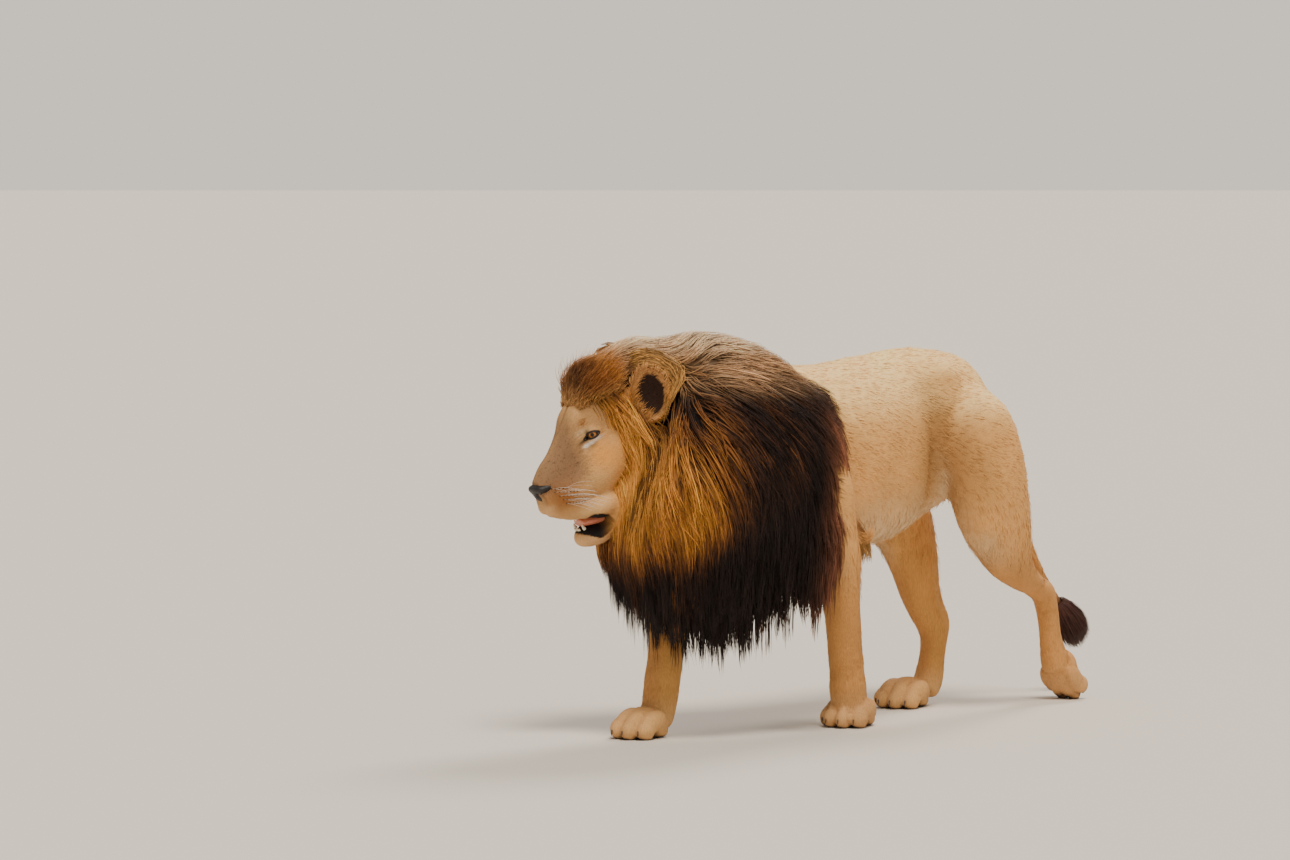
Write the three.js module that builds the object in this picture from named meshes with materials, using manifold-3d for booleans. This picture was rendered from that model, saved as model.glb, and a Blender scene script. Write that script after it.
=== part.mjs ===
// A life-size male lion in a slow walk, as a still museum model. Millimetres: +X is the way it walks,
// +Y its left side, +Z up, with the soles on Z = 0 and the origin under the middle of its bounding box.
// The flesh is modelled whole, from lofted limbs and balls, and then parted with thin cuts. The mane is
// the outer shape of the hair, out to the tips of the locks, with the flesh cut out of it.
import * as THREE from "three";
import { mergeVertices } from "three/addons/utils/BufferGeometryUtils.js";
import Module from "manifold-3d";

const wasm = await Module();
wasm.setup();

// ---------- driving dimensions ----------
const CUT = 0.4; // the width of each parting cut
const EASE = 2; // how far facets may stray when joined limbs are made coarser
const COARSE = 4; // and when the forms of the mane are
const MIDDLE = [-13, -47, 0]; // the middle of the bounding box, in the frame the tables are written in
const HEAD_AT = [832, -217, 776]; // the point midway between the eyes
const HEAD_YAW = -24; // the head is turned to its right, in degrees
const HEAD_PITCH = 24; // and hangs nose down
const EYE_RADIUS = 19;
const EYE_AT = [-8, 54, -2]; // forward, left and up from the point between the eyes
const PAW = { length: 92, width: 62, height: 54, cleft: 0.16 }; // half sizes, and how deep the toes part
const DEGREE = Math.PI / 180;
const UP = [0, 0, 1];
const SIDES = [
  ["left", 1],
  ["right", -1],
];

// Each limb is a list of stations down its middle line: x, y, z, then its half width, its half depth
// towards the top or front, and its half depth towards the underside or back.
const TRUNK = [
  [-495, 0, 822, 70, 76, 80],
  [-420, 0, 790, 118, 150, 130],
  [-300, 0, 766, 142, 190, 230],
  [-180, 0, 753, 146, 208, 252],
  [-50, 0, 716, 168, 235, 264],
  [100, 0, 687, 184, 247, 252],
  [250, 0, 683, 182, 250, 250],
  [380, 0, 702, 162, 240, 225],
  [480, 0, 727, 122, 185, 175],
  [535, 0, 736, 80, 120, 120],
];
const LIMBS = {
  foreleg_left: [
    [372, 118, 840, 45, 60, 70],
    [405, 148, 740, 66, 88, 110],
    [350, 165, 635, 70, 82, 102],
    [290, 172, 530, 62, 62, 82],
    [266, 166, 430, 58, 58, 62],
    [247, 155, 340, 52, 52, 52],
    [213, 137, 240, 50, 50, 50],
    [189, 125, 166, 47, 47, 47],
    [174, 119, 110, 52, 54, 50],
    [162, 113, 60, 50, 52, 44],
  ],
  foreleg_right: [
    [400, -118, 843, 45, 60, 70],
    [455, -145, 746, 66, 85, 110],
    [480, -160, 631, 72, 84, 100],
    [515, -158, 520, 68, 66, 82],
    [552, -145, 409, 62, 62, 66],
    [585, -133, 300, 56, 60, 58],
    [615, -123, 200, 50, 50, 50],
    [634, -117, 130, 50, 52, 48],
    [655, -113, 60, 48, 50, 44],
  ],
  hindleg_left: [
    [-330, 78, 850, 36, 60, 66],
    [-345, 112, 762, 82, 140, 128],
    [-375, 138, 640, 82, 150, 126],
    [-402, 148, 530, 74, 140, 124],
    [-425, 150, 465, 66, 112, 112],
    [-462, 144, 405, 56, 78, 84],
    [-520, 134, 358, 48, 52, 58],
    [-590, 122, 322, 40, 38, 42],
    [-655, 110, 292, 36, 34, 44],
    [-690, 101, 250, 35, 35, 38],
    [-706, 97, 205, 34, 34, 34],
    [-716, 95, 165, 35, 35, 35],
    [-734, 93, 115, 40, 42, 40],
    [-748, 92, 80, 42, 42, 40],
  ],
  hindleg_right: [
    [-330, -78, 850, 36, 60, 66],
    [-332, -112, 760, 82, 135, 140],
    [-330, -134, 650, 80, 125, 136],
    [-350, -146, 545, 72, 112, 125],
    [-400, -144, 450, 62, 100, 100],
    [-426, -139, 375, 57, 84, 84],
    [-437, -129, 310, 50, 74, 70],
    [-452, -118, 255, 45, 64, 62],
    [-468, -107, 200, 40, 50, 58],
    [-462, -101, 150, 38, 40, 42],
    [-448, -98, 100, 40, 42, 40],
    [-436, -96, 64, 42, 46, 40],
    [-412, -94, 26, 42, 46, 34],
  ],
};
// Where each paw stands, with its turn from straight ahead and its pitch, in degrees.
const PAWS = {
  foreleg_left: { at: [138, 108, -4], yaw: 2 },
  foreleg_right: { at: [711, -112, -4], yaw: -8 },
  hindleg_left: { at: [-800, 91, 78], yaw: 4, pitch: 110, scale: 0.9 },
  hindleg_right: { at: [-340, -93, -4], yaw: -2, scale: 1.02 },
};
// Each limb leaves the trunk at a plane, at the elbow or down the inside of the thigh, and is parted
// again down its length: the names from the top down, and the plane between each and the next, as a
// normal and a point.
const LIMB_PARTS = {
  foreleg_left: {
    root: [[-0.3, 0, -1], [285, 172, 500]],
    names: ["forearm_left", "forepaw_left"],
    planes: [[[0.15, 0, 1], [184, 118, 118]]],
  },
  foreleg_right: {
    root: [[0.3, 0, -1], [518, -158, 500]],
    names: ["forearm_right", "forepaw_right"],
    planes: [[[-0.2, 0, 1], [634, -117, 118]]],
  },
  hindleg_left: {
    root: [[0, 0.894, -0.447], [-300, 30, 505]],
    names: ["thigh_left", "shank_left", "hindfoot_left", "hindpaw_left"],
    planes: [
      [[0.45, 0, 1], [-430, 148, 455]],
      [[0.7, 0, 0.7], [-668, 106, 282]],
      [[0.2, 0, 1], [-730, 93, 128]],
    ],
  },
  hindleg_right: {
    root: [[0, -0.894, -0.447], [-300, -30, 505]],
    names: ["thigh_right", "shank_right", "hindfoot_right", "hindpaw_right"],
    planes: [
      [[0.3, 0, 1], [-400, -146, 450]],
      [[0, 0, 1], [-468, -106, 200]],
      [[-0.3, 0, 1], [-442, -96, 84]],
    ],
  },
};
const TAIL = [
  [-470, 0, 876, 40, 40, 40],
  [-535, 4, 828, 32, 32, 32],
  [-590, 8, 720, 27, 27, 27],
  [-640, 10, 590, 23, 23, 23],
  [-702, 8, 455, 20, 20, 20],
  [-772, 4, 352, 18, 18, 18],
  [-835, 2, 282, 17, 17, 17],
  [-890, 1, 226, 16, 16, 16],
];
const TAIL_CUTS = {
  root: [[-0.75, 0, -0.35], [-500, 0, 855]],
  middle: [[-0.4, 0, -1], [-640, 10, 590]],
  tuft: [[-0.7, 0, -0.7], [-858, 2, 256]],
};
const TAIL_TUFT = [
  [-862, 2, 255, 20, 20, 20],
  [-886, 1, 230, 36, 36, 36],
  [-925, 0, 190, 45, 45, 45],
  [-960, -1, 158, 34, 34, 34],
  [-985, -2, 132, 8, 8, 8],
];

// The mane as hair: a cape from behind the withers to the ruff round the face.
const CAPE = [
  [165, 0, 850, 105, 85, 110],
  [240, 0, 790, 170, 175, 235],
  [340, 0, 730, 240, 265, 370],
  [440, 0, 712, 256, 300, 415],
  [560, -20, 705, 262, 330, 430],
  [670, -60, 708, 252, 330, 405],
  [750, -112, 735, 212, 285, 350],
];

// The curl of longer hair on the belly behind the left elbow, from its root to its tip.
const ELBOW_TUFT = [
  [175, 150, 500],
  [120, 178, 468],
  [62, 172, 505],
];

const flesh = "#c2965f";
const paleFlesh = "#cdab7c";
const darkHair = "#3a2416";
const goldHair = "#8a5a2a";
const blackSkin = "#1d1917";
const amber = "#a8763a";
const pink = "#b5655a";

// ---------- making and cutting solids ----------
function solidOf(geometry) {
  const bare = new THREE.BufferGeometry();
  bare.setAttribute("position", geometry.getAttribute("position"));
  bare.setIndex(geometry.index);
  const merged = mergeVertices(bare, 1e-3);
  const numProp = 3;
  const vertProperties = merged.getAttribute("position").array;
  const triVerts = new Uint32Array(merged.index.array);
  const solid = new wasm.Manifold(new wasm.Mesh({ numProp, vertProperties, triVerts }));
  if (solid.volume() > 0) return solid;
  for (let i = 0; i < triVerts.length; i += 3) [triVerts[i], triVerts[i + 1]] = [triVerts[i + 1], triVerts[i]];
  return new wasm.Manifold(new wasm.Mesh({ numProp, vertProperties, triVerts }));
}

function geometryOf(solid) {
  const mesh = solid.getMesh();
  const geometry = new THREE.BufferGeometry();
  geometry.setAttribute("position", new THREE.BufferAttribute(new Float32Array(mesh.vertProperties), 3));
  geometry.setIndex(new THREE.BufferAttribute(new Uint32Array(mesh.triVerts), 1));
  geometry.computeVertexNormals();
  return geometry;
}

const IN_PLACE = new THREE.Matrix4();

// A ball of unequal radii, turned about its own axes in degrees.
function ball(at, radii, { turn = [0, 0, 0], around = 14, along = 10, place = IN_PLACE } = {}) {
  const geometry = new THREE.SphereGeometry(1, around, along);
  geometry.scale(...radii);
  geometry.rotateX(turn[0] * DEGREE);
  geometry.rotateY(turn[1] * DEGREE);
  geometry.rotateZ(turn[2] * DEGREE);
  geometry.translate(...at);
  geometry.applyMatrix4(place);
  return solidOf(geometry);
}

// A closed loft through stations: a sphere whose rings are moved onto the sections, with domed ends.
function loft(stations, { around = 16, along = 16, place = IN_PLACE } = {}) {
  const DOME_RINGS = Math.min(3, along / 2 - 1);
  const path = new THREE.CatmullRomCurve3(stations.map(([x, y, z]) => new THREE.Vector3(x, y, z)));
  const size = new THREE.CatmullRomCurve3(
    stations.map(([, , , side, up, down]) => new THREE.Vector3(side, up, down)),
  );
  const length = path.getLength();
  const geometry = new THREE.SphereGeometry(1, around, along);
  const position = geometry.getAttribute("position");
  const point = new THREE.Vector3();
  for (let i = 0; i < position.count; i++) {
    point.fromBufferAttribute(position, i);
    const ring = Math.round((Math.acos(THREE.MathUtils.clamp(point.y, -1, 1)) / Math.PI) * along);
    const angle = Math.atan2(point.z, point.x);
    const fromEnd = Math.min(ring, along - ring);
    const atStart = ring < along / 2;
    const endSize = size.getPoint(atStart ? 0 : 1);
    const dome = Math.min(0.6 * Math.min(endSize.x, endSize.y), 0.2 * length) / length;
    const bow = (Math.min(fromEnd, DOME_RINGS) / DOME_RINGS) * (Math.PI / 2);
    const inFromEnd =
      dome * (1 - Math.cos(bow)) +
      (Math.max(fromEnd - DOME_RINGS, 0) / (along / 2 - DOME_RINGS)) * (0.5 - dome);
    const t = atStart ? inFromEnd : 1 - inFromEnd;
    const middle = path.getPoint(t);
    const tangent = path.getTangent(t);
    const side = new THREE.Vector3(0, 1, 0).addScaledVector(tangent, -tangent.y).normalize();
    const up = new THREE.Vector3().crossVectors(tangent, side);
    const half = size.getPoint(t);
    const width = half.x * Math.sin(bow) * Math.cos(angle);
    const height = (Math.sin(angle) > 0 ? half.y : half.z) * Math.sin(bow) * Math.sin(angle);
    middle.addScaledVector(side, width).addScaledVector(up, height);
    position.setXYZ(i, middle.x, middle.y, middle.z);
  }
  geometry.applyMatrix4(place);
  return solidOf(geometry);
}

// A lock of hair: a tapered, gently bent loft from its root to its pointed tip.
function lock([from, bend, to], [wide, thick]) {
  const stations = [
    [...from, wide, thick, thick],
    [...bend, 0.8 * wide, 0.8 * thick, 0.8 * thick],
    [...to, 0.1 * wide, 0.1 * thick, 0.1 * thick],
  ];
  return loft(stations, { around: 6, along: 6 });
}

const joined = (solids) => solids.reduce((sum, next) => sum.add(next));
const eased = (solids, tolerance = EASE) => joined(solids).simplify(tolerance);

// The same solid with every corner moved outwards, to cut room for it out of its neighbour.
function grown(solid, by = CUT) {
  const geometry = geometryOf(solid);
  const position = geometry.getAttribute("position");
  const normal = geometry.getAttribute("normal");
  for (let i = 0; i < position.count; i++) {
    position.setXYZ(
      i,
      position.getX(i) + by * normal.getX(i),
      position.getY(i) + by * normal.getY(i),
      position.getZ(i) + by * normal.getZ(i),
    );
  }
  return solidOf(geometry);
}

// The part of a solid ahead of a plane, given by a normal and a point, less half a cut.
function ahead(solid, [normal, through], gap = CUT / 2) {
  const unit = new THREE.Vector3(...normal).normalize();
  return solid.trimByPlane(unit.toArray(), unit.dot(new THREE.Vector3(...through)) + gap);
}
const flipped = ([normal, through]) => [normal.map((n) => -n), through];
const behind = (solid, plane, gap) => ahead(solid, flipped(plane), gap);

function biggest(solid) {
  return solid.decompose().reduce((best, next) => (next.volume() > best.volume() ? next : best));
}

// ---------- head, in its own frame: forward, left and up from the point between the eyes ----------
const headPlace = new THREE.Matrix4()
  .makeTranslation(...HEAD_AT)
  .multiply(new THREE.Matrix4().makeRotationZ(HEAD_YAW * DEGREE))
  .multiply(new THREE.Matrix4().makeRotationY(HEAD_PITCH * DEGREE));
const onHead = (more = {}) => ({ ...more, place: headPlace });
const bothSides = (make) => joined(SIDES.map(([, sign]) => make(sign)));
const headPlane = (normal, through) => [
  new THREE.Vector3(...normal).transformDirection(headPlace).toArray(),
  new THREE.Vector3(...through).applyMatrix4(headPlace).toArray(),
];

// A closed form through cross-sections, each a position forward and five points round its left half
// from the top of the middle line to the bottom, as [left, up]; the right half mirrors them.
function sectioned(sections, { halfAround = 6, along = 12 } = {}) {
  const rings = sections.map(([forward, ...points]) => {
    const mirrored = points.slice(1, -1).reverse().map(([left, up]) => [-left, up]);
    const outline = [...points, ...mirrored].map(([left, up]) => new THREE.Vector3(forward, left, up));
    return new THREE.CatmullRomCurve3(outline, true, "centripetal").getPoints(2 * halfAround).slice(0, -1);
  });
  const around = 2 * halfAround;
  const lines = rings[0].map((_, i) => new THREE.CatmullRomCurve3(rings.map((ring) => ring[i])));
  const geometry = new THREE.SphereGeometry(1, around, along);
  const position = geometry.getAttribute("position");
  const middleAt = (t) => {
    const ring = lines.map((line) => line.getPoint(t));
    return ring.reduce((sum, next) => sum.add(next), new THREE.Vector3()).divideScalar(around);
  };
  const ends = [middleAt(0), middleAt(1)];
  for (let i = 0; i < position.count; i++) {
    const ring = Math.floor(i / (around + 1));
    const spoke = (i % (around + 1)) % around;
    const place =
      ring === 0 ? ends[0] : ring === along ? ends[1] : lines[spoke].getPoint((ring - 1) / (along - 2));
    position.setXYZ(i, place.x, place.y, place.z);
  }
  geometry.applyMatrix4(headPlace);
  return solidOf(geometry);
}

const HEAD = [
  [-190, [0, 40], [45, 22], [60, -25], [40, -75], [0, -90]],
  [-150, [0, 78], [72, 52], [96, -20], [70, -105], [0, -130]],
  [-85, [0, 98], [78, 70], [100, 0], [100, -95], [0, -170]],
  [-25, [0, 94], [60, 70], [68, 0], [90, -95], [0, -190]],
  [15, [0, 76], [42, 56], [50, -16], [76, -110], [0, -195]],
  [55, [0, 34], [34, 19], [44, -36], [62, -125], [0, -190]],
  [100, [0, -8], [29, -17], [41, -62], [58, -140], [0, -186]],
  [140, [0, -34], [27, -42], [38, -82], [52, -142], [0, -176]],
  [172, [0, -56], [21, -66], [30, -96], [34, -132], [0, -150]],
];

const JAW = [
  [-60, 0, -172, 84, 48, 50],
  [6, 0, -224, 66, 34, 44],
  [62, 0, -247, 46, 27, 32],
  [113, 0, -243, 32, 31, 28],
];

// The open mouth: the gap between the lips, and the room behind it up to the corners.
const mouthSpace = (less = 0) =>
  joined([
    ball([88, 0, -204], [60 - less, 60 - less, 19 - less], onHead({ turn: [0, 16, 0], around: 10, along: 4 })),
    ball([66, 0, -224], [32 - less, 76 - less, 25 - less], onHead({ turn: [0, 40, 0], around: 10, along: 4 })),
  ]);
const nosePad = () => ball([166, 0, -84], [25, 34, 28], onHead({ turn: [0, -20, 0], around: 10, along: 6 }));
const eyeball = (sign) =>
  ball([EYE_AT[0], EYE_AT[1] * sign, EYE_AT[2]], Array(3).fill(EYE_RADIUS), onHead({ around: 10, along: 6 }));

function tooth(sign, upper) {
  const [x, y, z, long, lean] = upper ? [118, 30, -172, 36, 186] : [104, 24, -222, 34, -4];
  const RADIUS = 7;
  const geometry = new THREE.ConeGeometry(RADIUS, long, 6);
  geometry.rotateX(Math.PI / 2);
  geometry.rotateY(lean * DEGREE);
  geometry.translate(x, y * sign, z);
  geometry.applyMatrix4(headPlace);
  return solidOf(geometry);
}

const EAR_AT = [-154, 124, 37];
function earForm(sign, radii, ahead, outward) {
  const turn = [-14 * sign, -6, -32 * sign];
  const at = [EAR_AT[0] + ahead, (EAR_AT[1] + outward) * sign, EAR_AT[2]];
  return ball(at, radii, onHead({ turn, around: 10, along: 6 }));
}
const earShell = (sign) => earForm(sign, [46, 36, 70], 0, 0);
const earHollow = (sign) => earForm(sign, [35, 28, 55], 14, 24);

// ---------- paws ----------
// One rounded form whose front is drawn in at the clefts between the four toes, on a frame at the
// middle of the sole that faces forward.
function paw({ at, yaw = 0, pitch = 0, scale = 1 }) {
  const { length, width, height, cleft } = PAW;
  const CLEFTS = [-0.588, 0, 0.588]; // across the paw, as shares of its half width
  const CLEFT_WIDTH = 0.16;
  const geometry = new THREE.SphereGeometry(1, 14, 9);
  const position = geometry.getAttribute("position");
  for (let i = 0; i < position.count; i++) {
    const [x, y, z] = [position.getX(i), position.getY(i), position.getZ(i)];
    const nearness = CLEFTS.reduce((sum, c) => sum + Math.exp(-(((y - c) / CLEFT_WIDTH) ** 2)), 0);
    const drawn = x > 0 ? 1 - cleft * nearness * x : 1;
    const squared = 1 + 0.18 * Math.abs(x * z);
    const low = x > 0 ? 1 - 0.28 * x * x : 1;
    position.setXYZ(i, length * x * drawn * squared, width * y * squared, height * z * drawn * low * squared);
  }
  geometry.translate(0, 0, 0.62 * height);
  geometry.scale(scale, scale, scale);
  geometry.rotateY(pitch * DEGREE);
  geometry.rotateZ(yaw * DEGREE);
  geometry.translate(...at);
  return solidOf(geometry);
}

// ---------- the flesh ----------
const limbForm = (limb) => eased([loft(LIMBS[limb], { around: 12, along: 14 }), paw(PAWS[limb])]);
const tailForm = loft(TAIL, { around: 8, along: 16 });
const head = sectioned(HEAD, { halfAround: 8, along: 12 });
const jaw = loft(JAW, onHead({ around: 10, along: 8 }));
const barrel = loft(TRUNK, { around: 18, along: 15 });

const SOLE = [UP, [0, 0, 0]];
const NAPE_CUT = headPlane([1, 0, 0], [-120, 0, 0]);

const made = []; // each part as [name, solid, colour, roughness]
const keep = (name, solid, color, roughness = 0.9) => made.push([name, biggest(solid), color, roughness]);

// ---------- mane: the neck with its hair, solid out to the tips ----------
function maneForm() {
  const crown = [
    ball([-75, 0, 88], [92, 128, 92], onHead({ around: 10, along: 7 })),
    ball([-190, 0, 65], [120, 125, 110], onHead({ around: 10, along: 6 })),
    ball([-285, 0, 36], [130, 145, 92], onHead({ around: 10, along: 6 })),
  ];
  const ruff = [
    ball([-118, 0, -60], [88, 190, 185], onHead({ around: 12, along: 8 })),
    ball([-58, 0, -205], [78, 122, 120], onHead({ around: 10, along: 6 })),
  ];
  const shoulders = [[365, 160, 490], [470, -165, 490]].map((at) =>
    ball(at, [125, 90, 155], { around: 10, along: 7 }),
  );
  const chest = ball([686, -122, 490], [105, 150, 150], { around: 10, along: 7 });
  const HANGING = 7;
  const hanging = Array.from({ length: HANGING }, (_, i) => {
    const across = 2 * (i / (HANGING - 1)) - 1;
    const x = 500 - 40 * across + 25 * (i % 2);
    const y = 175 * across - 10;
    const tip = 228 + 100 * across * across + 22 * (i % 2);
    return lock([[x, y, tip + 170], [x, 1.04 * y, tip + 90], [x - 18, 1.02 * y, tip]], [42, 52]);
  });
  return eased([loft(CAPE, { around: 16, along: 12 }), chest, ...crown, ...ruff, ...shoulders, ...hanging], COARSE);
}
const mane = maneForm();

// ---------- limbs: cut from the trunk, then parted down their length ----------
let trunk = barrel;
const limbs = [];
for (const [limb, { root, names, planes }] of Object.entries(LIMB_PARTS)) {
  const whole = ahead(limbForm(limb), SOLE, 0);
  let rest = biggest(ahead(whole, root).subtract(grown(mane)));
  limbs.push(biggest(ahead(whole, root)));
  trunk = trunk.add(behind(whole, root, 0));
  names.forEach((name, i) => {
    const last = i === names.length - 1;
    keep(name, last ? rest : ahead(rest, planes[i]), last ? paleFlesh : flesh);
    if (!last) rest = biggest(behind(rest, planes[i]));
  });
}
const tail = biggest(ahead(tailForm, TAIL_CUTS.root));
trunk = trunk.add(lock(ELBOW_TUFT, [26, 22]));
for (const part of [...limbs, tail, mane]) trunk = trunk.subtract(grown(part));
keep("trunk", trunk, flesh);

// ---------- tail ----------
const tailLow = ahead(tail, TAIL_CUTS.middle);
keep("tail_upper", behind(tail, TAIL_CUTS.middle), flesh);
keep("tail_lower", behind(tailLow, TAIL_CUTS.tuft), flesh);
keep("tail_tuft", ahead(loft(TAIL_TUFT, { around: 10, along: 12 }), TAIL_CUTS.tuft), darkHair);

// ---------- head ----------
const skull = ahead(head, NAPE_CUT);
const jawPiece = jaw.subtract(grown(head));
const sockets = bothSides((s) => grown(eyeball(s)));
const upperTeeth = bothSides((s) => tooth(s, true));
const lowerTeeth = bothSides((s) => tooth(s, false));
keep("head", skull.subtract(sockets).subtract(grown(nosePad())).subtract(mouthSpace()).add(upperTeeth), paleFlesh);
keep("lower_jaw", jawPiece.subtract(mouthSpace()).add(lowerTeeth), paleFlesh);
keep("nose", ahead(nosePad(), headPlane([1, 0, 0], [150, 0, 0])), blackSkin, 0.5);
const tongue = ball([70, 0, -205], [44, 31, 12], onHead({ turn: [0, 10, 0], around: 10, along: 6 }));
keep("tongue", tongue.intersect(mouthSpace(CUT)), pink, 0.4);
for (const [name, sign] of SIDES) {
  keep("eye_" + name, eyeball(sign), amber, 0.1);
  keep("ear_" + name, earShell(sign).subtract(earHollow(sign)).subtract(grown(head)), paleFlesh);
}

// ---------- mane, parted into the ruff round the face, the neck and the chest ----------
const RUFF_CUT = headPlane([0.9, 0, 0.25], [-150, 0, 0]);
const CHEST_CUT = [[-0.35, 0, 1], [560, 0, 500]];
const faceParts = SIDES.flatMap(([, sign]) => [earShell(sign), eyeball(sign)]);
const hair = [skull, jaw, ...limbs, ...faceParts].reduce((left, part) => left.subtract(grown(part)), mane);
keep("mane_ruff", ahead(hair, RUFF_CUT), goldHair, 0.8);
keep("mane_neck", ahead(biggest(behind(hair, RUFF_CUT)), CHEST_CUT), darkHair, 0.8);
keep("mane_chest", behind(biggest(behind(hair, RUFF_CUT)), CHEST_CUT), darkHair, 0.8);

const lion = new THREE.Group();
for (const [name, solid, color, roughness] of made) {
  const material = new THREE.MeshStandardMaterial({ color: new THREE.Color(color), roughness, metalness: 0 });
  const geometry = geometryOf(solid).translate(-MIDDLE[0], -MIDDLE[1], -MIDDLE[2]);
  const mesh = new THREE.Mesh(geometry, material);
  mesh.name = name;
  lion.add(mesh);
}
export default lion;
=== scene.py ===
# A life-size male lion in a slow walk, as a still museum model: one skin over the whole body, eyes, nose
# pad, mouth, claws and whiskers of their own, and the coat as thin closed tufts that follow its lie.
# The tables are in millimetres in the frame that the body was laid out in; everything made is in metres.
import math

import bmesh
import bpy
import numpy as np
from mathutils import Matrix, Vector
from mathutils.bvhtree import BVHTree


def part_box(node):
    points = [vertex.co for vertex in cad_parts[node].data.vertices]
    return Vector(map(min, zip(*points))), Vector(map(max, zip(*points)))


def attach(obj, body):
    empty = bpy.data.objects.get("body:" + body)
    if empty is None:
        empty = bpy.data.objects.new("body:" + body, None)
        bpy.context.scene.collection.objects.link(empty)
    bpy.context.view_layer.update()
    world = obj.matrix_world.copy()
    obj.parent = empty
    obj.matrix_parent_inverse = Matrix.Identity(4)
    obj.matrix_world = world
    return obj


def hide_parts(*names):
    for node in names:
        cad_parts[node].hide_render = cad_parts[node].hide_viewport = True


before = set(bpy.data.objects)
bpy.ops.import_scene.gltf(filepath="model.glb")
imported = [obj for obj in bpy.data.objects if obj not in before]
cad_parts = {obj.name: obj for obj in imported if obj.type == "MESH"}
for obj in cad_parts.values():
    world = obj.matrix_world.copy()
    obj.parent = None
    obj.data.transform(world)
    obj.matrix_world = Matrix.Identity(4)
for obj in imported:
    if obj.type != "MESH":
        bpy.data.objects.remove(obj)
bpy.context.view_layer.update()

MM = 0.001
SEED = 7
FLOOR_GAP = 0.0004  # metres between the floor and the lowest points
MIDDLE = (-13, -47, 0)  # the middle of the bounding box, in the tables' frame
SIDES = (("left", 1), ("right", -1))
FLESH = ("trunk", "head", "lower_jaw", "ear_", "fore", "thigh_", "shank_", "hind", "tail_upper", "tail_lower")

# ---------- the head's own frame: forward, left and up from the point between the eyes ----------
HEAD_AT = (832, -217, 776)
HEAD_YAW = -24
HEAD_PITCH = 24
EYE_RADIUS = 19
EYE_AT = (-8, 54, -2)


def moved(points):
    """Points of the tables, in millimetres, as metres in the frame of the part."""
    return (np.asarray(points, float) - MIDDLE) * MM


HEAD_TURN = np.array(
    Matrix.Rotation(math.radians(HEAD_YAW), 3, "Z") @ Matrix.Rotation(math.radians(HEAD_PITCH), 3, "Y")
)
HEAD_ORIGIN = moved(HEAD_AT)


def on_head(points):
    """Points of the head's frame, in millimetres, as metres in the frame of the part."""
    return HEAD_ORIGIN + np.asarray(points, float) * MM @ HEAD_TURN.T


def in_head(points):
    """Points of the part's frame, in metres, as millimetres in the head's frame."""
    return (np.asarray(points) - HEAD_ORIGIN) @ HEAD_TURN / MM


def in_tables(points):
    """Points of the part's frame, in metres, as millimetres in the tables' frame."""
    return np.asarray(points) / MM + MIDDLE


def sided(place, sign):
    """A place or way given for the left side, on the side of that sign."""
    return np.array(place) * (1, sign, 1)


# ---------- tables of the flesh: x, y, z, half width, half depth up or front, and down or back ----------
TRUNK = [
    (-495, 0, 822, 70, 76, 80),
    (-420, 0, 790, 118, 150, 130),
    (-300, 0, 766, 142, 190, 230),
    (-180, 0, 753, 146, 208, 252),
    (-50, 0, 716, 168, 235, 264),
    (100, 0, 687, 184, 247, 252),
    (250, 0, 683, 182, 250, 250),
    (380, 0, 702, 162, 240, 225),
    (480, 0, 727, 122, 185, 175),
    (535, 0, 736, 80, 120, 120),
]
NECK = [
    (300, 0, 792, 130, 150, 170),
    (440, -8, 804, 128, 140, 175),
    (570, -50, 808, 115, 122, 150),
    (680, -110, 823, 100, 105, 120),
]
LIMBS = {
    "foreleg_left": [
        (372, 118, 840, 45, 60, 70),
        (405, 148, 740, 66, 88, 110),
        (350, 165, 635, 70, 82, 102),
        (290, 172, 530, 62, 62, 82),
        (266, 166, 430, 58, 58, 62),
        (247, 155, 340, 52, 52, 52),
        (213, 137, 240, 50, 50, 50),
        (189, 125, 166, 47, 47, 47),
        (174, 119, 110, 52, 54, 50),
        (162, 113, 60, 50, 52, 44),
        (158, 111, 34, 48, 50, 40),
    ],
    "foreleg_right": [
        (400, -118, 843, 45, 60, 70),
        (455, -145, 746, 66, 85, 110),
        (480, -160, 631, 72, 84, 100),
        (515, -158, 520, 68, 66, 82),
        (552, -145, 409, 62, 62, 66),
        (585, -133, 300, 56, 60, 58),
        (615, -123, 200, 50, 50, 50),
        (634, -117, 130, 50, 52, 48),
        (655, -113, 60, 48, 50, 44),
        (668, -113, 34, 46, 48, 40),
    ],
    "hindleg_left": [
        (-330, 78, 850, 36, 60, 66),
        (-345, 112, 762, 82, 140, 128),
        (-375, 138, 640, 82, 150, 126),
        (-402, 148, 530, 74, 140, 124),
        (-425, 150, 465, 66, 112, 112),
        (-462, 144, 405, 56, 78, 84),
        (-520, 134, 358, 48, 52, 58),
        (-590, 122, 322, 40, 38, 42),
        (-655, 110, 292, 36, 34, 44),
        (-690, 101, 250, 35, 35, 38),
        (-706, 97, 205, 34, 34, 34),
        (-716, 95, 165, 35, 35, 35),
        (-734, 93, 115, 40, 42, 40),
        (-748, 92, 80, 42, 42, 40),
    ],
    "hindleg_right": [
        (-330, -78, 850, 36, 60, 66),
        (-332, -112, 760, 82, 135, 140),
        (-330, -134, 650, 80, 125, 136),
        (-350, -146, 545, 72, 112, 125),
        (-400, -144, 450, 62, 100, 100),
        (-426, -139, 375, 57, 84, 84),
        (-437, -129, 310, 50, 74, 70),
        (-452, -118, 255, 45, 64, 62),
        (-468, -107, 200, 40, 50, 58),
        (-462, -101, 150, 38, 40, 42),
        (-448, -98, 100, 40, 42, 40),
        (-436, -96, 64, 42, 46, 40),
        (-412, -94, 26, 42, 46, 34),
    ],
}
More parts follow.
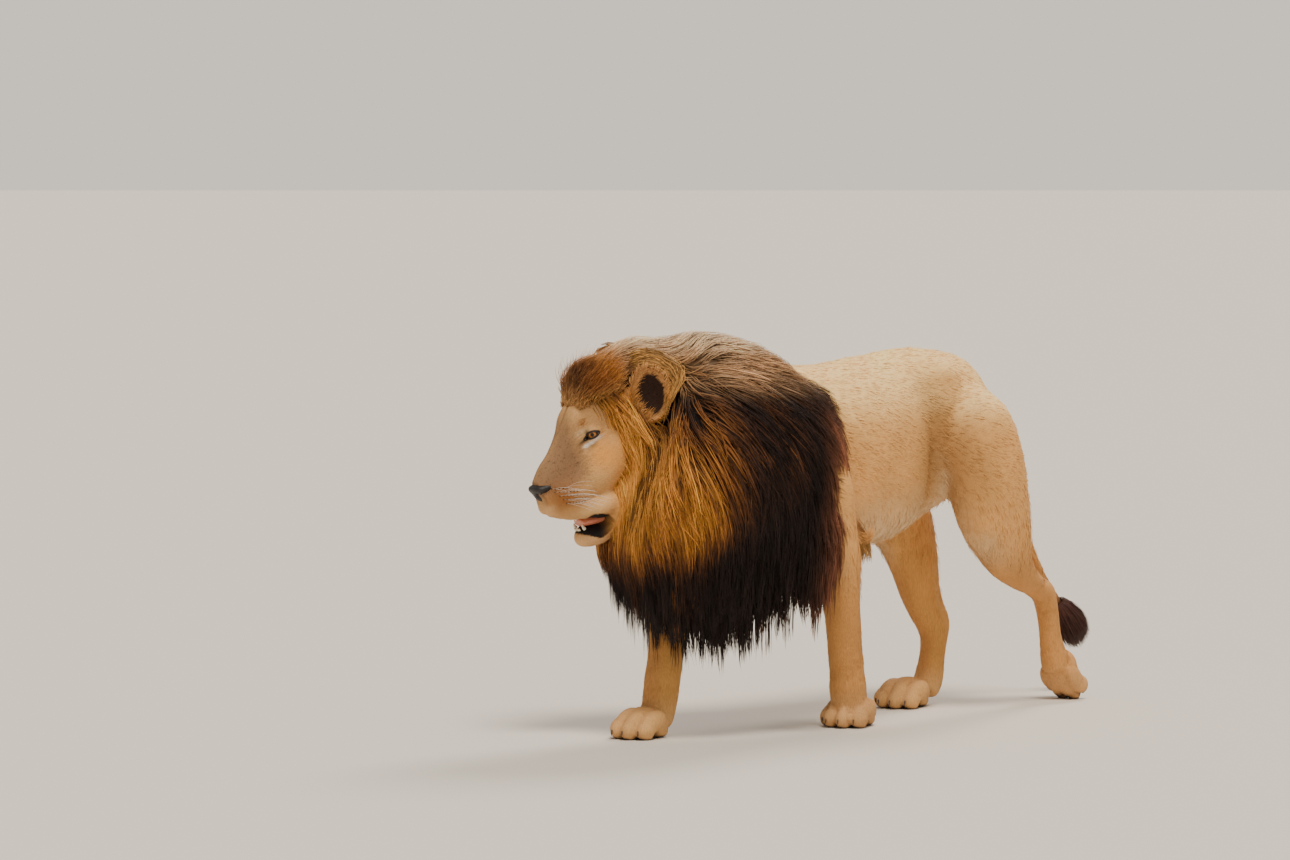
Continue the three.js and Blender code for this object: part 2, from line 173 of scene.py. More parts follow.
TAIL = [
    (-430, 0, 850, 40, 38, 38),
    (-520, 4, 815, 34, 32, 32),
    (-590, 8, 720, 27, 27, 27),
    (-640, 10, 590, 23, 23, 23),
    (-702, 8, 455, 20, 20, 20),
    (-772, 4, 352, 18, 18, 18),
    (-835, 2, 282, 17, 17, 17),
    (-890, 1, 226, 16, 16, 16),
]
# Each paw: the middle of its sole, its turn and pitch in degrees, and its scale.
PAWS = {
    "foreleg_left": ((138, 108, 0), 2, 0, 1.0),
    "foreleg_right": ((711, -112, 0), -8, 0, 1.0),
    "hindleg_left": ((-800, 91, 82), 4, 110, 0.9),
    "hindleg_right": ((-340, -93, 0), -2, 0, 1.0),
}
# The head's cross-sections: forward, then the left half from the top of the middle line to the bottom.
HEAD = [
    (-190, (0, 40), (45, 22), (60, -25), (40, -75), (0, -90)),
    (-150, (0, 78), (72, 52), (96, -20), (70, -105), (0, -130)),
    (-85, (0, 98), (78, 70), (100, 0), (100, -95), (0, -170)),
    (-25, (0, 94), (60, 70), (68, 0), (90, -95), (0, -190)),
    (15, (0, 76), (42, 56), (50, -16), (76, -110), (0, -195)),
    (55, (0, 34), (34, 19), (44, -36), (62, -125), (0, -190)),
    (100, (0, -8), (29, -17), (41, -62), (58, -140), (0, -186)),
    (140, (0, -34), (27, -42), (38, -82), (52, -142), (0, -176)),
    (172, (0, -56), (21, -66), (30, -96), (34, -132), (0, -150)),
]
JAW = [
    (-60, 0, -172, 84, 48, 50),
    (6, 0, -224, 66, 34, 44),
    (62, 0, -247, 46, 27, 32),
    (104, 0, -243, 31, 32, 27),
]

THROAT = [
    (-200, 0, -40, 96, 60, 110),
    (-140, 0, -110, 94, 60, 100),
    (-70, 0, -170, 86, 60, 80),
    (-10, 0, -206, 72, 50, 56),
    (24, 0, -222, 60, 34, 46),
]


# ---------- curves through tables ----------
def between(a, b, c, d, f):
    """The Catmull-Rom curve from b to c, with a before it and d after it, at the share f of its length."""
    return 0.5 * (2 * b + (c - a) * f + (2 * a - 5 * b + 4 * c - d) * f**2 + (3 * b - a - 3 * c + d) * f**3)


def curve(table, t):
    """A Catmull-Rom curve through the rows of a table, at each t from 0 at the first to 1 at the last."""
    rows = np.asarray(table, float)
    rows = np.vstack([2 * rows[0] - rows[1], rows, 2 * rows[-1] - rows[-2]])
    spans = len(rows) - 3
    s = np.clip(np.asarray(t, float), 0, 1) * spans
    i = np.minimum(s.astype(int), spans - 1)
    f = (s - i)[..., None]
    return between(rows[i], rows[i + 1], rows[i + 2], rows[i + 3], f)


def tangents(table, t):
    """The way that the curve through a table runs at each t."""
    step = 1e-3
    ahead = curve(table, np.clip(t + step, 0, 1)) - curve(table, np.clip(t - step, 0, 1))
    return unit(ahead[..., :3])


def unit(v):
    return v / np.maximum(np.linalg.norm(v, axis=-1, keepdims=True), 1e-12)


def bump(x, width=1.0):
    """A smooth hill: 1 at 0, falling to about nothing at twice the width."""
    return np.exp(-((x / width) ** 2))


def ramp(x, low, high):
    """0 below low, 1 above high, and smooth between."""
    s = np.clip((x - low) / (high - low), 0, 1)
    return s * s * (3 - 2 * s)


def mesh_of(bm, name):
    """A mesh of what a bmesh holds, its faces turned out. The bmesh is used up."""
    bmesh.ops.recalc_face_normals(bm, faces=bm.faces)
    mesh = bpy.data.meshes.new(name)
    bm.to_mesh(mesh)
    bm.free()
    return mesh


def in_scene(name, data):
    """A new object of the scene that holds the data."""
    thing = bpy.data.objects.new(name, data)
    bpy.context.scene.collection.objects.link(thing)
    return thing


def points_of(mesh):
    co = np.empty(len(mesh.vertices) * 3)
    mesh.vertices.foreach_get("co", co)
    return co.reshape(-1, 3)


def normals_of(mesh):
    normals = np.empty(len(mesh.vertices) * 3)
    mesh.vertex_normals.foreach_get("vector", normals)
    return normals.reshape(-1, 3)


def edges_of(mesh):
    edges = np.empty(len(mesh.edges) * 2, int)
    mesh.edges.foreach_get("vertices", edges)
    return edges.reshape(-1, 2)


def set_points(mesh, co):
    mesh.vertices.foreach_set("co", co.ravel())
    mesh.update()


def over_floor(co, gap=FLOOR_GAP):
    """Points lifted, where they are lower, to stay over the floor by a gap."""
    co[..., 2] = np.maximum(co[..., 2], gap)
    return co


# ---------- closed forms, each added to a bmesh ----------
def add_ball_moved(bm, around, along, move):
    """Adds a ball of radius 1 whose points are moved by a function. Made apart, as one big bmesh is slow."""
    ball = bmesh.new()
    made = bmesh.ops.create_uvsphere(ball, u_segments=around, v_segments=along, radius=1)["verts"]
    for vert, point in zip(made, move(np.array([v.co for v in made]))):
        vert.co = point
    mesh = mesh_of(ball, "form")
    bm.from_mesh(mesh)
    bpy.data.meshes.remove(mesh)


def turned(turn):
    """A turn about X, then Y, then Z, in degrees, as a matrix that multiplies rows of points."""
    about_x, about_y, about_z = (
        Matrix.Rotation(math.radians(angle), 3, axis) for angle, axis in zip(turn, "XYZ")
    )
    return np.array(about_z @ about_y @ about_x).T


def add_ball(bm, at, radii, turn=(0, 0, 0), place=moved, around=24, along=16):
    add_ball_moved(bm, around, along, lambda ball: place(ball * radii @ turned(turn) + at))


def add_loft(bm, stations, place=moved, around=28, along=40, less=0.0):
    """A sphere whose rings are moved onto the sections of a table, with domed ends."""
    dome = 6 / along  # the share of the rings that each domed end takes
    line = curve(stations, np.linspace(0, 1, 200))[:, :3]
    length = np.linalg.norm(np.diff(line, axis=0), axis=1).sum()
    rises = [min(0.6 * min(row[3], row[4]) / length, 0.2) for row in (stations[0], stations[-1])]

    def move(ball):
        polar = np.arccos(np.clip(ball[:, 2], -1, 1)) / math.pi
        angle = np.arctan2(ball[:, 1], ball[:, 0])
        from_end = np.minimum(polar, 1 - polar)
        bow = np.minimum(from_end / dome, 1) * math.pi / 2
        rise = np.where(polar < 0.5, *rises)
        inward = rise * (1 - np.cos(bow)) + np.maximum(from_end - dome, 0) / (0.5 - dome) * (0.5 - rise)
        t = np.where(polar < 0.5, inward, 1 - inward)
        rows = curve(stations, t)
        along_line = tangents(stations, t)
        side = unit(np.array([0.0, 1.0, 0.0]) - along_line * along_line[:, 1:2])
        up = np.cross(along_line, side)
        width = (rows[:, 3] - less) * np.sin(bow) * np.cos(angle)
        depth = (np.where(np.sin(angle) > 0, rows[:, 4], rows[:, 5]) - less) * np.sin(bow) * np.sin(angle)
        return place(rows[:, :3] + side * width[:, None] + up * depth[:, None])

    add_ball_moved(bm, around, along, move)


def closed_ring(points, count):
    """A closed smooth ring of that many points through a few."""
    rows = np.asarray(points, float)
    around = np.vstack([rows[-1:], rows, rows[:2]])
    t = np.arange(count) * len(rows) / count
    i = t.astype(int)
    f = (t - i)[:, None]
    return between(around[i], around[i + 1], around[i + 2], around[(i + 3) % len(around)], f)


def add_sections(bm, sections, around=48, along=60):
    """A closed form through mirrored cross-sections of the head's frame."""
    rings = []
    for forward, *half in sections:
        mirrored = [(-left, up) for left, up in half[1:-1][::-1]]
        ring = closed_ring(half + mirrored, around)
        rings.append(np.column_stack([np.full(around, float(forward)), ring]))
    rings = np.array(rings)
    t = np.linspace(0, 1, along)
    body = curve(rings.reshape(len(rings), -1), t).reshape(along, around, 3)

    def move(ball):
        polar = np.arccos(np.clip(ball[:, 2], -1, 1)) / math.pi * (along + 1)
        ring_of = np.clip(np.rint(polar).astype(int) - 1, 0, along - 1)
        spoke = np.rint(np.arctan2(ball[:, 1], ball[:, 0]) / (2 * math.pi) * around).astype(int) % around
        points = body[ring_of, spoke]
        poles = np.abs(ball[:, 2]) > 1 - 1e-6
        points[poles] = body[ring_of[poles]].mean(axis=1)
        return on_head(points)

    add_ball_moved(bm, around, along + 1, move)


# ---------- from forms to one smooth surface ----------
def one_surface(bm, voxel):
    """The outer surface of all the forms in a bmesh, as a new bmesh of even quads."""
    mesh = mesh_of(bm, "forms")
    thing = in_scene("forms", mesh)
    remesh = thing.modifiers.new("one surface", "REMESH")
    remesh.mode = "VOXEL"
    remesh.voxel_size = voxel
    done = thing.evaluated_get(bpy.context.evaluated_depsgraph_get())
    made = bmesh.new()
    made.from_mesh(done.to_mesh())
    bpy.data.objects.remove(thing)
    bpy.data.meshes.remove(mesh)
    return made


def to_neighbours(co, edges):
    """The way from each point to the middle of its neighbours."""
    a, b = edges.T
    count = np.bincount(edges.ravel(), minlength=len(co))[:, None]
    total = [np.bincount(a, co[b, i], len(co)) + np.bincount(b, co[a, i], len(co)) for i in range(3)]
    return np.column_stack(total) / np.maximum(count, 1) - co


def relax(co, edges, times, share=0.5, back=0.0):
    """Smooths points towards their neighbours, and back by a share against shrinking."""
    for _ in range(times):
        for amount in (share, -back):
            if amount:
                co = co + amount * to_neighbours(co, edges)
    return co


def relax_bmesh(bm, times, share=0.5, back=0.0):
    bm.verts.index_update()
    co = np.array([v.co for v in bm.verts])
    edges = np.array([[v.index for v in e.verts] for e in bm.edges])
    for vert, point in zip(bm.verts, relax(co, edges, times, share, back)):
        vert.co = point


# ---------- the forms of the body ----------
COAT_DEPTH = 4  # mm of short coat over the skin of the trunk and legs
BODY_VOXEL = 0.0094
HEAD_VOXEL = 0.0036
PAW_VOXEL = 0.0048

# Muscles, bones and hollows under the skin of the trunk and legs: the middle, the reach each way, a turn
# in degrees and how far the skin is moved out or in, in the tables' millimetres.
MUSCLES = [
    ((-405, 62, 905), (90, 50, 60), (0, 0, 0), 9),  # rump
    ((-405, -62, 905), (90, 50, 60), (0, 0, 0), 9),
    ((-250, 96, 900), (46, 34, 40), (0, 0, 0), 12),  # point of the hip
    ((-250, -96, 900), (46, 34, 40), (0, 0, 0), 12),
    ((-170, 130, 850), (70, 40, 60), (0, 0, 0), -8),  # hollow of the loin
    ((-170, -130, 850), (70, 40, 60), (0, 0, 0), -8),
    ((-172, 172, 620), (30, 60, 130), (0, 12, 0), -22),  # hollow of the flank
    ((-196, -170, 600), (30, 60, 130), (0, 10, 0), -24),
    ((335, 120, 850), (70, 60, 120), (0, -12, 0), 6),  # ridge of the shoulder blade
    ((350, -120, 850), (70, 60, 120), (0, -12, 0), 6),
    ((322, 220, 620), (56, 46, 90), (0, 14, 0), 12),  # the muscle above the elbow
    ((446, -220, 620), (56, 46, 90), (0, 8, 0), 12),
    ((222, 212, 640), (26, 60, 120), (0, 10, 0), -14),  # behind the shoulder
    ((354, -212, 640), (26, 60, 120), (0, 6, 0), -14),
    ((172, 178, 790), (13, 60, 60), (0, 26, 0), -5),  # folds of the skin behind it
    ((120, 190, 740), (13, 60, 54), (0, 26, 0), -4),
    ((192, 196, 668), (13, 60, 70), (0, 20, 0), -5),
    ((236, 205, 566), (50, 56, 90), (0, 10, 0), -20),  # behind the upper arm and above the elbow
    ((448, -180, 500), (30, 34, 30), (0, 0, 0), 10),
    ((306, 206, 466), (40, 40, 70), (0, 10, 0), 9),  # muscles of the forearm
    ((540, -190, 462), (40, 40, 70), (0, -14, 0), 9),
    ((-340, 215, 610), (80, 50, 110), (0, 12, 0), 9),  # the broad muscle of the thigh
    ((-306, -215, 600), (80, 50, 110), (0, 0, 0), 9),
    ((-440, 205, 700), (46, 50, 110), (0, 20, 0), 8),  # the muscle behind it
    ((-420, -205, 690), (46, 50, 110), (0, 12, 0), 8),
    ((-322, 176, 480), (40, 40, 40), (0, 0, 0), 10),  # knee
    ((-276, -170, 462), (40, 40, 40), (0, 0, 0), 10),
    ((-490, 180, 430), (50, 40, 56), (0, 34, 0), 8),  # calf
    ((-470, -160, 400), (46, 40, 70), (0, 8, 0), 8),
    ((-700, 102, 306), (26, 26, 30), (0, 30, 0), 6),  # heel bone
    ((-510, -112, 212), (26, 26, 36), (0, 14, 0), 9),
    ((-620, 138, 318), (60, 16, 14), (0, 22, 0), -8),  # in front of the tendon of the heel
    ((-620, 98, 318), (60, 16, 14), (0, 22, 0), -8),
    ((-474, -150, 268), (16, 16, 60), (0, 8, 0), -7),
    ((-474, -88, 268), (16, 16, 60), (0, 8, 0), -7),
    ((238, 120, 168), (34, 60, 34), (0, 0, 0), 5),  # wrist
    ((684, -118, 158), (34, 60, 34), (0, 0, 0), 5),
    ((160, 132, 178), (24, 30, 20), (0, 0, 0), 7),  # small pad behind the wrist
    ((598, -128, 164), (24, 30, 20), (0, 0, 0), 7),
]


def on_paw(place):
    """Moves millimetres of a paw's frame, forward, left and up from its sole, to the part's frame."""
    at, yaw, pitch, scale = place
    turn = Matrix.Rotation(math.radians(yaw), 3, "Z") @ Matrix.Rotation(math.radians(pitch), 3, "Y")
    return lambda points: moved(np.asarray(points, float) * scale @ np.array(turn).T + at)


TOES = [(64, -19), (64, 19), (38, -50), (38, 50)]  # where the tip of each toe rests: forward and left


def add_paw(bm, name):
    place = on_paw(PAWS[name])
    add_ball(bm, (-3, 0, 38), (66, 54, 42), place=place)
    add_ball(bm, (-22, 0, 14), (46, 42, 19), place=place)  # heel pad
    for forward, left in TOES:
        add_ball(bm, (forward - 26, 0.9 * left, 44), (44, 21, 28), (0, 20, 0), place)
        add_ball(bm, (forward + 2, left, 25), (29, 19.5, 25), (0, 24, 0), place)
        add_ball(bm, (forward + 2, left, 10), (22, 15, 12), place=place)


EAR_AT = (-154, 127, 36)
EAR_RADII = (38, 50, 72)
EAR_TURN = (-16, -6, 58)
EAR_WALL = 0.32  # the thickness of the ear, as a share of its first radius
EAR_CUP = 0.9  # and how deep it is


def ear_turned(sign):
    """The turn of the ear of that side, as a matrix that multiplies rows of points."""
    roll, pitch, yaw = EAR_TURN
    return turned((roll * sign, pitch, yaw * sign))


def add_ear(bm, sign):
    """A cupped ear: a ball drawn out to a round rim, with its front pressed in to a hollow."""

    def move(p):
        front = p[:, 0] > 0
        out = np.minimum(p[:, 1] ** 2 + p[:, 2] ** 2, 1)
        p[:, 0] = -EAR_CUP * np.sqrt(1 - out) + np.where(front, EAR_WALL * np.sqrt(1 - out**3), 0)
        return on_head(p * EAR_RADII @ ear_turned(sign) + sided(EAR_AT, sign))

    add_ball_moved(bm, 40, 28, move)


# Forms of the face on its left side, mirrored on its right: as the muscles, in the head's frame.
FACE = [
    ((30, 42, 46), (34, 22, 16), (0, 30, 8), 6),  # brow
    ((24, 66, -26), (34, 16, 9), (0, 14, -16), -5),  # under the lower lid
    ((-34, 96, -44), (54, 30, 22), (0, 16, -10), 7),  # cheekbone
    ((-14, 98, -118), (60, 34, 56), (0, 10, -8), 10),  # cheek
    ((70, 44, -72), (52, 20, 22), (0, 26, 0), -7),  # beside the bridge of the nose
    ((126, 52, -120), (36, 26, 32), (0, 24, -6), 12),  # whisker pad
    ((118, 54, -152), (44, 20, 15), (0, 22, -8), 7),  # upper lip
    ((140, 12, -30), (40, 10, 14), (0, 26, 0), 3),  # bridge of the nose
    ((150, 34, -98), (14, 10, 20), (0, 0, 0), -5),  # behind the nostril
    ((56, 58, -240), (40, 16, 14), (0, 8, -14), 7),  # lower lip
]
FACE_MIDDLE = [
    ((20, 0, 84), (56, 9, 30), (0, 30, 0), -4),  # groove of the forehead
    ((180, 0, -130), (14, 4, 26), (0, 0, 0), -6),  # groove of the upper lip
    ((122, 0, -248), (20, 28, 22), (0, 0, 0), 4),  # chin
]


LID_RADIUS = 22.5


def add_head(bm):
    """The head with its jaw, throat, lips and ears, and a ball for the lids of each eye."""
    add_sections(bm, HEAD)
    add_loft(bm, JAW, on_head)
    add_loft(bm, THROAT, on_head)
    add_ball(bm, (158, 0, -86), (20, 29, 26), (0, -20, 0), on_head)
    add_ball(bm, (91, 0, -243), (33, 33, 29), (0, 4, 0), on_head)  # chin
    for _, sign in SIDES:
        add_ball(bm, (8, 44 * sign, -206), (38, 32, 58), (0, 20, 0), on_head)  # cheek behind the mouth
        add_ball(bm, (156, 18 * sign, -133), (25, 18, 21), (0, 0, 0), on_head)  # front of the upper lip
        add_ball(bm, (136, 41 * sign, -154), (42, 14, 17), (0, -36, -30 * sign), on_head)  # its side
        add_ball(bm, (88, 56 * sign, -172), (40, 15, 20), (0, -10, -8 * sign), on_head)
        add_ball(bm, (48, 58 * sign, -182), (42, 22, 26), (0, -10, 0), on_head)
        add_ear(bm, sign)
        add_ball(bm, sided(EYE_AT, sign), (LID_RADIUS,) * 3, place=on_head)


def add_trunk(bm):
    add_loft(bm, TRUNK, less=COAT_DEPTH)
    add_loft(bm, NECK)


def add_body(bm):
    add_trunk(bm)
    add_loft(bm, TAIL, around=20, along=60, less=2)
    for limb, stations in LIMBS.items():
        add_loft(bm, stations, along=60, less=COAT_DEPTH)
        add_paw(bm, limb)
    add_head(bm)


def bulge(co, normals, brushes, place=moved):
    """Moves points along their normals under soft brushes."""
    lift = np.zeros(len(co))
    origin = place((0, 0, 0))
    axes = (place(np.eye(3)) - origin) / MM
    local = (co - origin) @ axes.T / MM
    for at, reach, turn, amount in brushes:
        away = (local - at) @ turned(turn).T / reach
        lift += amount * MM * np.exp(-(away**2).sum(axis=1))
    return co + normals * lift[:, None]


def both_sides(brushes):
    mirrored = [
        ((at[0], -at[1], at[2]), reach, (-turn[0], turn[1], -turn[2]), amount)
        for at, reach, turn, amount in brushes
    ]
    return brushes + mirrored


# Where the finer surfaces of the head and paws are joined to the body: a point, the way towards the
# finer side, the middle of that side and its reach, in the tables' millimetres.
JOINS = {
    "head": ((685, -152, 739), (0.89, -0.4, 0.22), (832, -217, 776), 500),
    "foreleg_left": ((176, 119, 118), (0, 0, -1), (138, 108, 20), 150),
    "foreleg_right": ((634, -117, 118), (0, 0, -1), (690, -112, 20), 160),
    "hindleg_left": ((-730, 93, 132), (-0.2, 0, -1), (-780, 91, 50), 140),
    "hindleg_right": ((-448, -98, 98), (0, 0, -1), (-370, -93, 20), 150),
}
JOIN_GAP = 0.006


def once(items):
    """A list of the items without repeats, in the order that they first come in."""
    return list(dict.fromkeys(items))


def keep_side(bm, name, finer):
    """Cuts a surface at a join and keeps the finer side or the other one."""
    through, way, middle, reach = JOINS[name]
    centre, middle = Vector(moved(through)), Vector(moved(middle))
    way = Vector(way).normalized()
    if finer:
        geom = bm.verts[:] + bm.edges[:] + bm.faces[:]
        plane, normal = centre + way * JOIN_GAP / 2, -way
    else:
        near = [v for v in bm.verts if (v.co - middle).length < reach * MM]
        faces = once(f for v in near for f in v.link_faces)
        geom = once(v for f in faces for v in f.verts) + once(e for f in faces for e in f.edges) + faces
        plane, normal = centre - way * JOIN_GAP / 2, way
    bmesh.ops.bisect_plane(bm, geom=geom, dist=1e-6, plane_co=plane, plane_no=normal, clear_outer=True)


def biggest_piece(bm):
    """Deletes all but the largest connected piece of a mesh."""
    left = set(bm.verts)
    pieces = []
    for start in bm.verts:
        if start not in left:
            continue
        left.discard(start)
        piece, edge = [start], [start]
        while edge:
            edge = [v for v in once(e.other_vert(v) for v in edge for e in v.link_edges) if v in left]
            left.difference_update(edge)
            piece += edge
        pieces.append(piece)
    pieces.sort(key=len)
    bmesh.ops.delete(bm, geom=[v for piece in pieces[:-1] for v in piece], context="VERTS")


def finer_surface(name):
    """The head or a paw as a finer surface, cut off at its join."""
    bm = bmesh.new()
    if name == "head":
        add_trunk(bm)
        add_head(bm)
    else:
        add_loft(bm, LIMBS[name], along=60, less=COAT_DEPTH)
        add_paw(bm, name)
    made = one_surface(bm, HEAD_VOXEL if name == "head" else PAW_VOXEL)
    relax_bmesh(made, 7 if name == "head" else 4, 0.5, 0.3)
    keep_side(made, name, finer=True)
    biggest_piece(made)
    return made


def join_surfaces():
    """One closed surface: the body with the finer head and paws bridged to it."""
    bm = bmesh.new()
    add_body(bm)
    body = one_surface(bm, BODY_VOXEL)
    relax_bmesh(body, 14, 0.5, 0.3)
    for name in JOINS:
        keep_side(body, name, finer=False)
    for name in JOINS:
        finer = finer_surface(name)
        mesh = mesh_of(finer, "finer")
        body.from_mesh(mesh)
        bpy.data.meshes.remove(mesh)
        open_edges = [e for e in body.edges if e.is_boundary]
        here = Vector(moved(JOINS[name][0]))
        loops = [e for e in open_edges if (e.verts[0].co - here).length < 0.26]
        bmesh.ops.bridge_loops(body, edges=loops)
    return body


# ---------- the camera ----------
CAMERA_AT = (16364.4, 13024.6, 2102.3)
CAMERA_OFF_AXIS = 50  # degrees from straight across the lion towards its front
CAMERA_FALL = 3.7  # degrees that it looks down
LENS = 226.2


def make_camera():
    """A long lens at the walking lion's left front, level with its back."""
    data = bpy.data.cameras.new("camera")
    camera = in_scene("camera", data)
    data.lens, data.sensor_width = LENS, 36
    data.clip_start, data.clip_end = 1, 60
    camera.location = moved(CAMERA_AT)
    heading, fall = math.radians(CAMERA_OFF_AXIS), math.radians(CAMERA_FALL)
    look = Vector((-math.sin(heading) * math.cos(fall), -math.cos(heading) * math.cos(fall), -math.sin(fall)))
    camera.rotation_mode = "QUATERNION"
    camera.rotation_quaternion = look.to_track_quat("-Z", "Y")
    bpy.context.scene.camera = camera


# ---------- eyes, cut into the skin and set in it ----------
EYE_LOOKS = (0.62, 0.76, 0.10)  # the way that the left eye looks, in the head's frame
LID_LINE = (60, -26, -3)  # from its outer corner to its inner one
LID_GAP = 3.2  # mm of lid over the eyeball
# The opening between the lids: along towards the nose, and up, in millimetres from the eye's middle.
LID_EDGE = [(-17, -0.5), (-12, 4.8), (-4, 7.4), (5, 7.8), (13, 5.2), (18, 0.8), (26, -4.5)]
LID_EDGE += [(16, -6.4), (4, -7.8), (-6, -7.4), (-13, -4.6)]


def eye_axes(sign):
    """The way that an eye looks, the way from its outer corner to its inner one, and up across it."""
    look = unit(sided(EYE_LOOKS, sign))
    along = sided(LID_LINE, sign)
    along = unit(along - look * (along @ look))
    return look, along, -sign * np.cross(look, along)


def at_eye(points, sign):
    """Points of the part's frame as along, up and out from the middle of an eye, in millimetres."""
    look, along, over = eye_axes(sign)
    local = in_head(points) - sided(EYE_AT, sign)
    return local @ along, local @ over, local @ look


def from_eye(x, y, out, sign):
    """The place of the part's frame for millimetres along, up and out from the middle of an eye."""
    look, along, over = eye_axes(sign)
    return on_head(sided(EYE_AT, sign) + x[:, None] * along + y[:, None] * over + out[:, None] * look)


def outside(edge, place):
    """How far each place is outside a closed edge, both flat, and less than 0 inside it."""
    away = np.linalg.norm(place[:, None] - edge[None], axis=2).min(axis=1)
    x, y = place[:, :1], place[:, 1:]
    ahead = np.roll(edge, -1, axis=0)
    crosses = (edge[None, :, 1] > y) != (ahead[None, :, 1] > y)
    rise = np.where(ahead[:, 1] == edge[:, 1], 1, ahead[:, 1] - edge[:, 1])
    at = edge[:, 0] + (y - edge[None, :, 1]) / rise * (ahead[:, 0] - edge[:, 0])
    return np.where((crosses & (x < at)).sum(axis=1) % 2 == 1, -away, away)


def outside_lids(x, y):
    """How far a place is outside the opening between the lids, and less than 0 inside it."""
    return outside(closed_ring(LID_EDGE, 120), np.column_stack([x, y]))


def lid_height(x, y, over):
    """The height of a smooth lid that lies that far over the eyeball."""
    return np.sqrt(np.maximum((EYE_RADIUS + over) ** 2 - x**2 - y**2, (0.42 * EYE_RADIUS) ** 2))


def open_lids(co):
    """Sinks the skin behind the eyeball inside the lids' opening, and lays the lids over it round that."""
    for _, sign in SIDES:
        x, y, out = at_eye(co, sign)
        near = (np.hypot(x, y) < 40) & (out > -6) & (out < 40)
        x, y, out = x[near], y[near], out[near]
        away = outside_lids(x, y)
        lid = lid_height(x, y, LID_GAP)
        on_lid = ramp(9 - away, 0, 6)
        out = out + (np.maximum(lid, out - 4) - out) * on_lid * ramp(EYE_RADIUS + 4 - np.hypot(x, y), 0, 5)
        out = np.where(away < 0, lid_height(x, y, 0) - 9, out)
        co[near] = from_eye(x, y, out, sign)
    return co


def refine_near(bm, middle, reach, cuts):
    """Makes the faces near a place finer."""
    near = [e for e in bm.edges if all((v.co - middle).length < reach for v in e.verts)]
    bmesh.ops.subdivide_edges(bm, edges=near, cuts=cuts, use_grid_fill=True)


# ---------- colours of the coat, by place, with painted highlight and shade ---
def tone(red, green, blue):
    """A colour given as display values from 0 to 255, as linear light."""
    c = np.array((red, green, blue)) / 255
    return np.where(c <= 0.04045, c / 12.92, ((c + 0.055) / 1.055) ** 2.4)


TAN = tone(222, 164, 96)
SAND = tone(234, 190, 128)
# painted highlight for the top of the back, laid where the coat faces up
BACK_PAINTED_HIGHLIGHT = tone(255, 210, 138)
PALE = tone(228, 198, 154)
# painted shade, for the flank, the thigh and the groove of the forehead
SHADE = tone(112, 70, 34)
LEG = tone(198, 140, 78)
INNER_LEG = tone(212, 156, 84)
# black of the bare skin round the eyes, nose and lips, also used as painted shade over each eye's inner
# corner and between the jaws
DARK_SKIN_AND_SHADE = tone(24, 19, 19)
PAD = tone(58, 46, 42)
FACE_TAN = tone(200, 152, 98)
BRIDGE = tone(122, 91, 68)
CHEEK = tone(230, 158, 76)
WHITE = tone(236, 226, 210)
MUZZLE_WHITE = tone(224, 176, 124)
OCHRE = tone(140, 84, 32)
# the mane's dark brown, deepened as painted shade, for skin that shows between the mane's hairs
UNDER_MANE_SHADE = tone(52, 36, 26)
EAR_INSIDE = tone(54, 36, 27)
EAR_RIM = tone(206, 150, 92)
MANE_TONES = [  # from the face to the shoulder
    tone(226, 160, 74),
    tone(208, 138, 58),
    tone(166, 104, 50),
    tone(112, 70, 40),
    tone(62, 39, 30),
    tone(36, 24, 22),
]
CROWN = tone(160, 98, 44)
CROWN_MIDDLE = tone(70, 43, 26)
# painted highlight on the sunlit top of the mane
MANE_TOP_HIGHLIGHT = tone(226, 176, 128)
RED_EDGE = tone(150, 94, 68)
# painted highlight along the highest ridge of the mane
RIDGE_HIGHLIGHT = tone(255, 220, 178)
GOLD = tone(240, 176, 96)
TAIL_DARK = tone(72, 45, 38)


def mixed(colour, other, share):
    """A colour with another laid over it by a share from 0 to 1 at each point."""
    return colour + (other - colour) * np.clip(share, 0, 1)[:, None]


def layered(colour, *layers):
    """A colour with others laid over it in turn, each by its share."""
    for other, share in layers:
        colour = mixed(colour, other, share)
    return colour


def mottle(points, size, seed):
    """Soft random patches from -1 to 1, of about that size in metres."""
    rng = np.random.default_rng(seed)
    total = np.zeros(len(points))
    for _ in range(6):
        way = unit(rng.normal(size=3)) * 2 * math.pi / size * rng.uniform(0.5, 1.3)
        total += np.sin(points @ way + rng.uniform(0, 2 * math.pi))
    return total / 3


def near_spot(place, middle, reach):
    """1 at the middle of a soft spot, falling to 0 past its reach."""
    away = (np.column_stack(place) - middle) / reach
    return np.exp(-(away**2).sum(axis=1))


